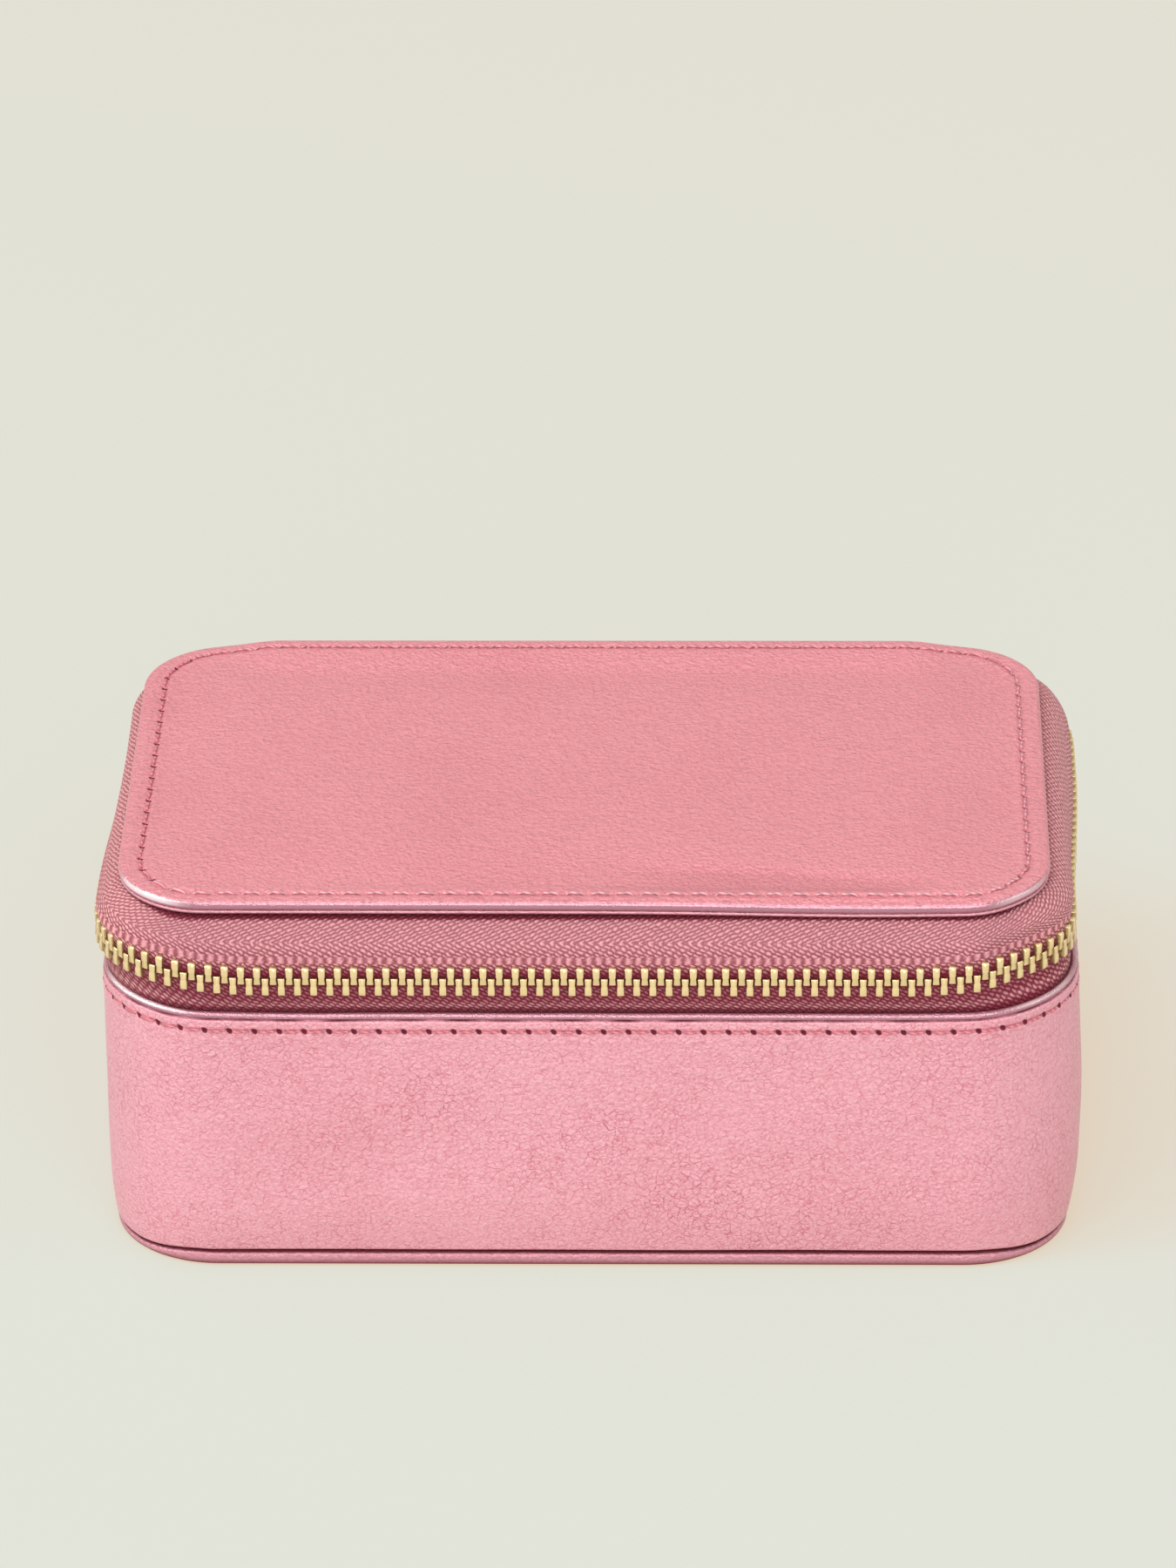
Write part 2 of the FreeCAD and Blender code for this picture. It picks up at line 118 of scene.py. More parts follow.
class StitchSizes(bpy.types.PropertyGroup):
    """Thread lines of the lid and the hem."""
    lid_count: IntProperty(name="Lid stitches", description="Stitches round the lid", default=110, min=8)
    hem_count: IntProperty(name="Hem stitches", description="Stitches round the hem", default=121, min=8)
    lid_inset: length("Lid line inset", "Inset of the lid's stitch line from the rim's outline", 7.4 * MM)
    lid_margin: length("Side margin", "How much further in the lid's stitches run along its sides", 0.6 * MM)
    hem_sink: length("Side sink", "How far the hem's stitches sink in along the sides", 0.28 * MM)
    groove: length("Groove depth", "Depth of the groove that the stitches pull", 0.22 * MM)
    thread: length("Thread thickness", "Thickness of the thread", 0.42 * MM)
    arch: length("Stitch arch", "How far a stitch arches between its needle holes", 0.42 * MM)
    share: FloatProperty(name="Stitch share", description="Part of a pitch that the thread covers", default=0.76,
                         min=0.1, max=1.0, subtype="FACTOR")


class ZipSizes(bpy.types.PropertyGroup):
    """Zip chain, tapes, strap and slider."""
    height: length("Chain height", "Height of the chain's middle", 54 * MM)
    inset: length("Chain inset", "Inset of the chain's middle from the rim's outline", 1.2 * MM)
    pitch: length("Tooth pitch", "Distance between two teeth of one row", 2.6 * MM)
    first: length("First tooth", "Distance from the rear left corner to the first lower tooth", 5.392 * MM)
    count: IntProperty(name="Teeth", description="Teeth in each row", default=128, min=2)
    tape: length("Tape thickness", "Thickness of the woven tape", 0.6 * MM)
    bulge: length("Tape bulge", "How far the upper tape bulges along the left side", 0.5 * MM)
    tuck: length("Tape tuck", "How far each end of a tape goes under the strap", 2.5 * MM)
    curl: length("Tape curl", "How far each end of a tape curls in", 1.5 * MM)
    strap: length("Strap thickness", "Thickness of the strap at the back", 0.8 * MM)
    strap_half: length("Strap half width", "Half width of the strap at the back", 55 * MM)
    plate: length("Slider plate", "Thickness of each of the slider's plates", 0.9 * MM)
    hang: length("Pull height", "Height of the bar that the pull hangs from", 52.65 * MM)
    pull: length("Pull length", "Length of the slider's pull", 24 * MM)


class BoxColours(bpy.types.PropertyGroup):
    """Colours of the finishes."""
    lid: colour("Lid leather", "Pearl pink of the lid", (0.81, 0.314, 0.356))
    base: colour("Base leather", "Pearl pink of the wall", (0.83, 0.420, 0.492))
    fold: colour("Leather fold", "Deep pink in creases", (0.58, 0.12, 0.18))
    # Gap: the dark maroon of painted shade in needle holes, seams, crevices and on the tape where it lies in shade.
    gap: colour("Gap", "Dark maroon of needle holes, seams and tucked tape", (0.17, 0.007, 0.026))
    pearl: colour("Pearl", "Lavender shine on rolled edges", (0.49, 0.225, 0.290))
    # Painted highlight: the pale pink that rolled edges are drawn toward at the front corners.
    rubbed: colour("Rubbed pearl", "Pale pink where a rolled edge is rubbed bright", (1.0, 0.80, 0.86))
    tape: colour("Zip tape", "Dusty mauve of the tape", (0.78, 0.362, 0.405))
    # Painted light: the paler pink that the tape is drawn toward along the sides.
    tape_pale: colour("Side tape", "Paler pink of the tape along the sides", (0.95, 0.43, 0.45))
    tape_sheen: colour("Tape sheen", "Warm sheen of the tape's fluff", (1.0, 0.80, 0.74))
    thread: colour("Thread", "Pink of the thread", (0.83, 0.23, 0.29))
    # Painted light: the paler pink of the lid's thread along the front.
    thread_lit: colour("Worn thread", "Paler pink of the thread along the lid's front", (0.90, 0.46, 0.52))
    metal: colour("Zip metal", "Pale gold of the zip", (1.0, 0.77, 0.42))
    # Painted shade: the brown drawn on the teeth's sides and in the pits of their tips.
    tarnish: colour("Zip tarnish", "Brown between the teeth", (0.16, 0.055, 0.016))
    lining: colour("Lining", "Rose pile of the lining", (0.72, 0.42, 0.43))
    floor: colour("Floor", "Pale floor", (0.760, 0.745, 0.658))


def smooth(low, high, value):
    """Smooth step from 0 at low to 1 at high: 3t^2 - 2t^3."""
    share = np.clip((value - low) / (high - low), 0.0, 1.0)
    return share * share * (3.0 - 2.0 * share)


def hill(value, middle, width):
    """Bell curve: 1 at the middle, and 1/e one width to each side of it."""
    return np.exp(-((value - middle) / width) ** 2)


def squared(value, power):
    """A sine or cosine drawn towards a square wave: its size to a power below 1, with its sign kept."""
    return np.sign(value) * np.abs(value) ** power


def stacked(*parts):
    """Points from their coordinates, which are single numbers or arrays that fit each other."""
    return np.stack(np.broadcast_arrays(*parts), axis=-1)


def ripple(x, y, size, seed):
    """Soft unevenness from -1 to 1: the mean of seven seeded plane waves, each about as long as size."""
    seeded = np.random.default_rng(seed)
    angle, phase = seeded.uniform(0.0, 2.0 * np.pi, (2, 7))
    pace = 2.0 * np.pi * seeded.uniform(0.6, 1.5, 7) / size
    along = np.multiply.outer(x, np.cos(angle)) + np.multiply.outer(y, np.sin(angle))
    return np.sin(along * pace + phase).mean(axis=-1)


def pucker(along, pitch):
    """1 at each needle hole, at whole pitches along a stitch line, and 0 between them, by a cosine."""
    return 0.5 + 0.5 * np.cos(2.0 * np.pi * along / pitch)


def outline_length(sizes, inset):
    """Length round the outline at an inset: four straight runs and one full circle of the corner radius."""
    return 4.0 * (sizes.half_width + sizes.half_depth) + 2.0 * np.pi * (sizes.corner - inset)


def outline_at(sizes, distance, inset):
    """Core point and outward normal at distances along the outline, from the back's end at the rear left corner.

    Even runs are quarter circles, on which the core stays at the corner's axis and the normal turns by a right
    angle. Odd runs are straight, and there the core moves between two axes while the normal stays.
    """
    wide, deep = sizes.half_width, sizes.half_depth
    quarter = (sizes.corner - inset) * np.pi / 2.0
    runs = np.array([quarter, 2 * deep, quarter, 2 * wide, quarter, 2 * deep, quarter, 2 * wide])
    starts = np.concatenate(([0.0], np.cumsum(runs)))
    place = np.mod(distance, starts[-1])
    run = np.clip(np.searchsorted(starts, place, side="right") - 1, 0, 7)
    share = (place - starts[run]) / runs[run]
    axes = np.array([[-wide, deep], [-wide, -deep], [wide, -deep], [wide, deep]])
    here, ahead = axes[run // 2], axes[(run // 2 + 1) % 4]
    straight = (run % 2 == 1)[:, None]
    core = np.where(straight, here + (ahead - here) * share[:, None], here)
    angle = np.pi / 2.0 * (1.0 + run // 2 + np.where(run % 2 == 0, share, 1.0))
    return core, stacked(np.cos(angle), np.sin(angle))


def whole_outline(sizes, inset, count):
    """Core points and normals of count even places once round the outline."""
    return outline_at(sizes, np.linspace(0.0, outline_length(sizes, inset), count + 1)[:-1], inset)


def carry(sizes, profile, core, normal):
    """Profile of (inset, height) rows carried round the outline: core + normal * (corner radius - inset), height.

    The profile is either one list of rows or one for each station, as rows by stations.
    """
    shape = (len(profile), len(core))
    inset, height = (np.broadcast_to(profile[..., part].reshape(len(profile), -1), shape) for part in (0, 1))
    flat = core[None] + normal[None] * (sizes.corner - inset)[..., None]
    return np.concatenate([flat, height[..., None]], axis=-1)


def directions(normal):
    """Unit vectors along the outline, out of it and up, one row for each normal."""
    return (stacked(-normal[:, 1], normal[:, 0], 0.0), stacked(normal[:, 0], normal[:, 1], 0.0),
            stacked(0.0, 0.0, np.ones(len(normal))))


def wall_inset(sizes, height, facing):
    """Inset of the wall at a height: a foot that curls in as a square below the curl, less a slight belly.

    The belly is a half wave from bottom to rim, fuller on the right, where facing, the normal's X, is 1. Above the
    foot the left side stands in, and so does the top of the right.
    """
    foot = np.clip((sizes.curl - height) / (sizes.curl - sizes.bottom), 0.0, 1.0) ** 2
    wave = np.sin(np.pi * np.clip((height - sizes.bottom) / (sizes.rim - sizes.bottom), 0.0, 1.0))
    left = sizes.left_slim * smooth(-0.2, -0.9, facing) * smooth(sizes.bottom, 15 * MM, height)
    right = sizes.right_slim * smooth(0.2, 0.9, facing) * smooth(26 * MM, 43 * MM, height)
    return sizes.lean * foot - sizes.belly * (1.0 + 0.8 * facing) * wave + left + right


def foot_aside(normal):
    """0 in front and behind, and 1 at the sides, where the foot hangs lower."""
    return smooth(0.15, 0.8, np.abs(normal[:, 0]))


def corner_pull(x, y):
    """1 at the two front corners, where the zip and the rim are pulled up, and 0 in the front's middle and behind."""
    return smooth(52 * MM, 74 * MM, np.abs(x)) * smooth(0.0, -28 * MM, y)


def corner_polish(normal):
    """How far a rolled edge gets a painted highlight: at the front left corner, and less at the front right one."""
    left = smooth(0.08, 0.5, -normal[:, 0]) * smooth(1.0, 0.85, -normal[:, 0])
    right = 0.45 * smooth(0.25, 0.6, normal[:, 0]) * smooth(1.0, 0.85, normal[:, 0])
    return (left + right) * smooth(0.0, -0.3, normal[:, 1])


def lid_margin(stitches, normal):
    """How much further in the lid's stitches run: more as the outline turns to the sides."""
    return stitches.lid_margin * smooth(0.3, 0.9, np.abs(normal[:, 0]))


def settle_lid(sizes, grid):
    """Lay points of the lid as it is sewn on: raised over the strap at the back by a smooth step, sagging at the
    front right by a bell curve, and shifted to the left."""
    x, y = grid[..., 0], grid[..., 1]
    over_strap = smooth(64 * MM, 53 * MM, np.abs(x)) * smooth(33 * MM, 41 * MM, y)
    front_right = hill(x, 46 * MM, 25 * MM) * smooth(-41.5 * MM, -45 * MM, y)
    grid[..., 2] += sizes.rear_lift * over_strap - sizes.front_sag * front_right
    grid[..., 0] -= sizes.lid_shift


def distances(rows):
    """Distance of each point of a polyline from its start, along the line."""
    return np.concatenate(([0.0], np.cumsum(np.linalg.norm(np.diff(rows, axis=0), axis=1))))


def resample(rows, count):
    """Points spaced evenly along a polyline, count of them, by straight interpolation over its length."""
    rows = np.asarray(rows, float)
    steps = distances(rows)
    places = np.linspace(0.0, steps[-1], count)
    return stacked(*(np.interp(places, steps, part) for part in rows.T))


def rounded(rows, passes, count):
    """Polyline with its corners eased: resampled evenly, then averaged with its neighbours, its ends held."""
    line = resample(rows, count)
    for _ in range(passes):
        line[1:-1] = 0.25 * line[:-2] + 0.5 * line[1:-1] + 0.25 * line[2:]
    return line


def mirrored(half, count):
    """Closed outline of count even points from its right half, a list of (a, b) that starts at a = 0."""
    return resample(half + [(-a, b) for a, b in half[-2:0:-1]] + half[:1], count + 1)[:-1]


def heading(line):
    """Unit direction of a polyline at each of its points."""
    ahead = np.gradient(line, axis=0)
    return ahead / np.linalg.norm(ahead, axis=1, keepdims=True)


def band(middle, thickness):
    """Closed profile of a band of cloth: its middle line moved half the thickness to each side, with round ends.

    thickness is one number for each point of the middle line.
    """
    ahead, half = heading(middle), thickness[:, None] / 2.0
    side = stacked(-ahead[:, 1], ahead[:, 0]) * half
    first, last = middle[:1] - ahead[:1] * half[:1], middle[-1:] + ahead[-1:] * half[-1:]
    return np.concatenate([middle + side, last, (middle - side)[::-1], first])


def grid_faces(rows, columns, round_rows, round_columns):
    """Quads of a grid, as point numbers, and the row and the column of each of their corners.

    The corners' rows and columns pass the last one where the grid is round.
    """
    row, column = np.meshgrid(np.arange(rows - 1 + round_rows), np.arange(columns - 1 + round_columns),
                              indexing="ij")
    corner_rows = stacked(row, row, row + 1, row + 1).reshape(-1, 4)
    corner_columns = stacked(column, column + 1, column + 1, column).reshape(-1, 4)
    return ((corner_rows % rows) * columns + corner_columns % columns).tolist(), corner_rows, corner_columns


def ring_faces(rings, sides):
    """Faces of a stack of rings with the same number of sides, closed by one face at each end."""
    ends = [list(range(sides)), list(range((rings - 1) * sides, rings * sides))]
    return grid_faces(rings, sides, False, True)[0] + ends


def new_mesh(name, points, faces, corner_uv=None, marks=None):
    """Mesh object from points and faces, with doubles merged, faces turned outwards and smooth shading.

    corner_uv is a list of one (u, v) for each corner of each face. marks is {name: one value for each point}.
    """
    mesh = bpy.data.meshes.new(name)
    mesh.from_pydata(points, [], faces)
    if corner_uv is not None:
        mesh.uv_layers.new(name="along").data.foreach_set("uv", np.asarray(corner_uv, np.float32).ravel())
    for mark, values in (marks or {}).items():
        attribute = mesh.attributes.new(mark, "FLOAT", "POINT")
        attribute.data.foreach_set("value", np.asarray(values, np.float32).ravel())
    work = bmesh.new()
    work.from_mesh(mesh)
    bmesh.ops.remove_doubles(work, verts=work.verts, dist=1e-7)
    bmesh.ops.recalc_face_normals(work, faces=work.faces)
    work.to_mesh(mesh)
    work.free()
    mesh.shade_smooth()
    piece = bpy.data.objects.new(name, mesh)
    bpy.context.scene.collection.objects.link(piece)
    return piece


def surface(name, grid, round_rows=False, round_columns=False, uv=None, caps=(), **marks):
    """Mesh of a grid of points, rows by columns.

    uv is one (u, v) for each grid point, with one row or column more where the grid is round. caps names the open
    sides to close with one face. Each mark is a number or an array that fits the grid, kept as a point attribute.
    """
    rows, columns = grid.shape[:2]
    faces, corner_rows, corner_columns = grid_faces(rows, columns, round_rows, round_columns)
    corner_uv = None if uv is None else uv[corner_rows, corner_columns].reshape(-1, 2).tolist()
    index = np.arange(rows * columns).reshape(rows, columns)
    ends = {"first_row": index[0], "last_row": index[-1], "first_column": index[:, 0], "last_column": index[:, -1]}
    for cap in caps:
        faces.append(ends[cap].tolist())
        if uv is not None:
            corner_uv += uv[:rows, :columns].reshape(-1, 2)[ends[cap]].tolist()
    marks = {mark: np.broadcast_to(values, (rows, columns)) for mark, values in marks.items()}
    return new_mesh(name, grid.reshape(-1, 3), faces, corner_uv, marks)


def repeated(name, shape, faces, place, along, across, up, **marks):
    """Mesh of one small shape at many places: place + a * along + b * across + c * up for each of its points.

    Each mark is a number or an array that fits places by points, kept as a point attribute.
    """
    points = (place[:, None] + shape[None, :, :1] * along[:, None] + shape[None, :, 1:2] * across[:, None]
              + shape[None, :, 2:] * up[:, None])
    shift = np.arange(len(place)) * len(shape)
    many = [[corner + start for corner in face] for start in shift.tolist() for face in faces]
    marks = {mark: np.broadcast_to(values, points.shape[:2]) for mark, values in marks.items()}
    return new_mesh(name, points.reshape(-1, 3), many, marks=marks)


def joined(name, parts):
    """One mesh object from several (points, faces, place, along, across, up) shapes."""
    points, faces, start = [], [], 0
    for shape, quads, place, along, across, up in parts:
        points.append(place + shape[:, :1] * along + shape[:, 1:2] * across + shape[:, 2:] * up)
        faces += [[corner + start for corner in quad] for quad in quads]
        start += len(shape)
    return new_mesh(name, np.concatenate(points), faces)


def tube_shape(line, radius, sides, wide=1.0):
    """Points and faces of a closed tube: a ring of sides round each point of a line in the plane of a and c.

    The rings stay upright across the line's own direction. radius gives the half height of each, and wide times
    radius its half width.
    """
    ahead = heading(line)
    lift = stacked(-ahead[:, 2], 0.0, ahead[:, 0])
    turn = np.linspace(0.0, 2.0 * np.pi, sides, endpoint=False)[None, :, None]
    spread = np.cos(turn) * np.array([0.0, wide, 0.0]) + np.sin(turn) * lift[:, None]
    points = line[:, None] + spread * radius[:, None, None]
    return points.reshape(-1, 3), ring_faces(len(line), sides)


def dress(piece, material, body=None, replaced=(), blend=None):
    """Give a piece its material and slot, let it ride a body or else bake its transform in, and stand for nodes."""
    piece.data.materials.clear()
    piece.data.materials.append(material)
    if blend:
        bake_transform(piece)
    else:
        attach(piece, body)
    if replaced:
        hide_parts(*replaced)
    return piece


class Wire:
    """One output of a node, which can stand in a formula. Each operation adds one node to the same tree."""

    def __init__(self, node, output=0):
        self.node, self.output = node, output

    def to(self, kind, inputs, output=0, **settings):
        """Output of a new node in this wire's tree."""
        return Wire(add_node(self.node.id_data, kind, inputs, **settings), output)

    def math(self, operation, *others):
        """Result of a Math node on this wire and the others."""
        return self.to("ShaderNodeMath", dict(enumerate((self, *others))), operation=operation)

    __add__ = partialmethod(math, "ADD")
    __sub__ = partialmethod(math, "SUBTRACT")
    __mul__ = partialmethod(math, "MULTIPLY")
    __truediv__ = partialmethod(math, "DIVIDE")
    __pow__ = partialmethod(math, "POWER")

    def step(self, low, high, start=0.0, end=1.0):
        """Smooth step of this value, from start at low to end at high."""
        inputs = {"Value": self, "From Min": low, "From Max": high, "To Min": start, "To Max": end}
        return self.to("ShaderNodeMapRange", inputs, "Result", interpolation_type="SMOOTHSTEP")

    def swell(self):
        """Round swell that repeats at each whole value: from 0 at whole values to 1 between them."""
        return (self * (2.0 * np.pi)).math("COSINE") * -0.5 + 0.5

    def tint(self, first, second):
        """Colour between two colours, by this share."""
        return self.to("ShaderNodeMix", {0: self, 6: first, 7: second}, 2, data_type="RGBA")

    def speckle(self, scale, detail, output="Fac"):
        """Noise at this place, as a value of about 0 to 1 or as a colour."""
        return self.to("ShaderNodeTexNoise", {"Vector": self, "Scale": scale, "Detail": detail}, output)

    def drift(self, scale, detail, reach):
        """This place moved by a noise of its own, by up to reach along each axis."""
        moved = self.to("ShaderNodeVectorMath", {0: self.speckle(scale, detail, "Color"), 1: reach},
                        operation="MULTIPLY")
        return self.to("ShaderNodeVectorMath", {0: self, 1: moved}, operation="ADD")

    def part(self, axis):
        """One coordinate of this place."""
        return self.to("ShaderNodeSeparateXYZ", {0: self}, axis)


def plug(node, inputs):
    """Fill inputs of a node: wires are linked, and other values are set."""
    for name, value in inputs.items():
        if isinstance(value, Wire):
            node.id_data.links.new(value.node.outputs[value.output], node.inputs[name])
        else:
            node.inputs[name].default_value = value


def add_node(tree, kind, inputs=None, **settings):
    """One node of a tree. settings are its own options, and inputs are values or wires."""
    node = tree.nodes.new(kind)
    for option, value in settings.items():
        setattr(node, option, value)
    plug(node, inputs or {})
    return node


def empty_tree(owner):
    """Node tree of a material or a world, with nothing in it."""
    owner.use_nodes = True
    owner.node_tree.nodes.clear()
    return owner.node_tree


def wires(node):
    """All outputs of a node by name."""
    return {socket.name: Wire(node, socket.name) for socket in node.outputs}


def new_group(name, inputs, outputs):
    """Shader node group with named sockets. inputs is {name: kind, or a default number} and outputs is {name: kind}.

    Returns the wires of its inputs and its output node.
    """
    group = bpy.data.node_groups.new(name, "ShaderNodeTree")
    for socket, given in inputs.items():
        kind = given if isinstance(given, str) else "Float"
        made = group.interface.new_socket(socket, in_out="INPUT", socket_type="NodeSocket" + kind)
        if kind == "Float":
            made.default_value = given
    for socket, kind in outputs.items():
        group.interface.new_socket(socket, in_out="OUTPUT", socket_type="NodeSocket" + kind)
    return wires(group.nodes.new("NodeGroupInput")), group.nodes.new("NodeGroupOutput")


def pearl_leather(name):
    """Group for leather: wide and small cell lines for crackle, two noises for pebble grain and soft blotches.

    Rolled edges are smoother and show pearl, drawn toward a pale pink as painted highlight where marked.
    Seams get painted shade, dark toward the gap colour, and are also sunk by bump.
    """
    given, made = new_group(
        name,
        {"Place": "Vector", "Colour": "Color", "Fold": "Color", "Pearl": "Color", "Rubbed": "Color", "Gap": "Color",
         "Crackle": 0.5, "Pebble": 1.0, "Grain Scale": 1500.0, "Rolled": 0.0, "Polished": 0.0, "Seam": 0.0},
        {"Colour": "Color", "Roughness": "Float", "Metallic": "Float", "Coat": "Float", "Height": "Float"})
    place, crackle, rolled, seam = given["Place"], given["Crackle"], given["Rolled"], given["Seam"]
    grain = place.speckle(given["Grain Scale"], 2.0)
    lumps = place.speckle(given["Grain Scale"] * 0.5, 2.0)
    broken = place.speckle(300.0, 1.0).step(0.36, 0.60, 0.6, 1.0)
    drifted = place.drift(520.0, 2.0, (0.9 * MM, 0.9 * MM, 0.9 * MM))
    lines = []
    for scale, reach, share in ((560.0, 0.07, crackle ** 2.5), (860.0, 0.10, crackle)):
        cells = drifted.to("ShaderNodeTexVoronoi", {"Vector": drifted, "Scale": scale}, "Distance",
                           feature="DISTANCE_TO_EDGE")
        lines.append(cells.step(0.0, reach, 1.0, 0.0) * share * broken)
    cracks = lines[0] + lines[1]
    blotch = place.speckle(30.0, 4.0).step(0.42, 0.72, 0.0, 0.10)
    shade = cracks * 0.5 + (blotch + grain.step(0.68, 0.32, 0.0, 0.22))
    # Painted highlight: pearl drawn toward a pale pink where the mark asks for it.
    pearl = given["Polished"].tint(given["Pearl"], given["Rubbed"])
    skin = rolled.tint(shade.tint(given["Colour"], given["Fold"]), pearl)
    relief = (lumps * 0.9 + grain) * given["Pebble"] * (rolled * -0.88 + 1.0)
    plug(made, {
        "Colour": seam.tint(skin, given["Gap"]),
        "Roughness": grain.step(0.25, 0.75, 0.38, 0.50) + cracks * 0.12 - rolled * 0.22 + seam * 0.4,
        "Metallic": rolled * 0.35 + 0.25,
        "Coat": seam.step(0.0, 0.6, 1.0, 0.0) * (rolled * 0.3 + 0.18),
        "Height": relief - cracks * 0.25 - seam})


def needle_holes(name):
    """Group for needle holes, which are painted shade: a slanted ellipse at each whole pitch along a stitch line,
    from the piece's UV map.
    """
    given, made = new_group(
        name,
        {"Place": "Vector", "Pitch": 4.0 * MM, "Line": 0.0, "Long": 0.4 * MM, "Wide": 0.4 * MM, "Slant": 0.0},
        {"Mask": "Float"})
    along, pitch = given["Place"].part(0), given["Pitch"]
    near = along - (pitch * 0.5 + along).math("SNAP", pitch)
    aside = given["Place"].part(1) - given["Line"]
    long, wide = (aside * given["Slant"] + near) / given["Long"], aside / given["Wide"]
    plug(made, {"Mask": (long * long + wide * wide).step(0.5, 1.5, 1.0, 0.0)})


def herringbone_weave(name):
    """Group for tape: slanted ridges of grains that turn back at one line, and upright ribs beside the teeth.

    Fluff lies over all. Where the cloth is marked as shaded it gets painted shade, dark first between the ridges and
    then on them.
    """
    given, made = new_group(
        name,
        {"Place": "Vector", "Colour": "Color", "Shade": "Color", "Gap": "Color", "Tucked": 0.0},
        {"Colour": "Color", "Height": "Float"})
    ridge_pitch, grain_pitch, rib_pitch, turning_line = 0.66 * MM, 1.06 * MM, 1.6 * MM, 6.1 * MM
    place = given["Place"].drift(650.0, 1.0, (0.6 * MM, 0.6 * MM, 0.0))
    along, across = place.part(0), place.part(1)
    ridge = (along * -0.42 + (across - turning_line).math("ABSOLUTE")) / ridge_pitch
    grain = ridge.math("FLOOR") * 0.5 + along / grain_pitch
    bead = ridge.swell() * (grain.swell() * 0.85 + 0.15)
    rib = (along / rib_pitch).swell() * 0.45 + 0.08
    beside = across.step(2.6 * MM, 2.9 * MM) * across.step(4.0 * MM, 3.7 * MM)
    cloth = beside.to("ShaderNodeMix", {0: beside, 2: bead, 3: rib}, data_type="FLOAT")
    height = given["Place"].speckle(2300.0, 2.0) * 0.55 + cloth
    light, tucked = height.step(0.2, 0.95), given["Tucked"]
    # Painted shade where marked: the gap colour, first in the valleys and then on the ridges.
    hidden = (tucked - tucked * tucked) * (light * -2.2 + 1.1) + tucked
    dyed = light.tint(given["Shade"], given["Colour"])
    plug(made, {"Colour": hidden.tint(dyed, given["Gap"]), "Height": height})


def short_pile(name):
    """Group for pile: fine fibre noise over wide brushed patches, which lighten or darken the nap."""
    given, made = new_group(
        name,
        {"Place": "Vector", "Colour": "Color", "Shade": "Color"},
        {"Colour": "Color", "Roughness": "Float", "Height": "Float"})
    fibre, brushed = given["Place"].speckle(2100.0, 3.0), given["Place"].speckle(42.0, 3.0)
    nap = fibre.step(0.3, 0.7, 0.0, 0.45) + brushed.step(0.35, 0.65, 0.0, 0.55)
    plug(made, {"Colour": nap.tint(given["Shade"], given["Colour"]),
                "Roughness": brushed.step(0.3, 0.7, 0.88, 0.74), "Height": fibre})


def use_group(shader, builder, inputs):
    """Outputs of a node group, placed in a shader's tree and built the first time. Its name is its builder's."""
    name = builder.__name__
    if name not in bpy.data.node_groups:
        builder(name)
    return wires(add_node(shader.id_data, "ShaderNodeGroup", inputs, node_tree=bpy.data.node_groups[name]))


def opaque(value, share=1.0):
    """Colour property with a full alpha, dimmed to a share."""
    return (*(share * part for part in value), 1.0)


def new_material(name, inputs):
    """Material with one Principled shader. Returns it, its shader, and its Object and UV coordinates."""
    material = bpy.data.materials.new(name)
    tree = empty_tree(material)
    shader = add_node(tree, "ShaderNodeBsdfPrincipled", inputs)
    add_node(tree, "ShaderNodeOutputMaterial", {"Surface": Wire(shader)})
    place = add_node(tree, "ShaderNodeTexCoord")
    return material, shader, Wire(place, "Object"), Wire(place, "UV")


def mark_of(shader, name):
    """Value of a point attribute, for a shader's tree."""
    return Wire(add_node(shader.id_data, "ShaderNodeAttribute", attribute_name=name), "Fac")


def emboss(shader, height, distance):
    """Bump of a height on the shader's normal, distance deep."""
    plug(shader, {"Normal": height.to("ShaderNodeBump", {"Height": height, "Distance": distance}, "Normal")})


def leather(name, skin, colours, crackle, pebble=1.0, grain=1500.0, stitches=None):
    """Pearl faux leather, with less crackle where it is spared.

    stitches gives the sockets of its needle holes, on the piece's own UV map.
    """
    material, shader, place, flat = new_material(name, {"Coat Roughness": 0.25, "Specular IOR Level": 0.4})
    seam = mark_of(shader, "seam")
    if stitches:
        holes = use_group(shader, needle_holes, {"Place": flat, **stitches})
        # Needle holes are painted shade, as strong as the piece's mark for them.
        seam = seam.math("MAXIMUM", holes["Mask"] * mark_of(shader, "pierced"))
    made = use_group(shader, pearl_leather, {
        "Place": place, "Colour": opaque(skin), "Fold": opaque(colours.fold), "Pearl": opaque(colours.pearl),
        "Rubbed": opaque(colours.rubbed), "Gap": opaque(colours.gap), "Pebble": pebble, "Grain Scale": grain,
        "Crackle": mark_of(shader, "spared") * -crackle + crackle, "Rolled": mark_of(shader, "rolled"),
        "Polished": mark_of(shader, "polished"), "Seam": seam})
    plug(shader, {"Base Color": made["Colour"], "Roughness": made["Roughness"], "Metallic": made["Metallic"],
                  "Coat Weight": made["Coat"]})
    emboss(shader, made["Height"], 0.28 * MM)
    return material


def lining(name, colours):
    """Rose pile cloth with a soft sheen."""
    material, shader, place, _ = new_material(name, {"Sheen Weight": 0.5, "Sheen Roughness": 0.4})
    made = use_group(shader, short_pile, {"Place": place, "Colour": opaque(colours.lining),
                                          "Shade": opaque(colours.lining, 0.62)})
    plug(shader, {"Base Color": made["Colour"], "Roughness": made["Roughness"]})
    emboss(shader, made["Height"], 0.3 * MM)
    return material


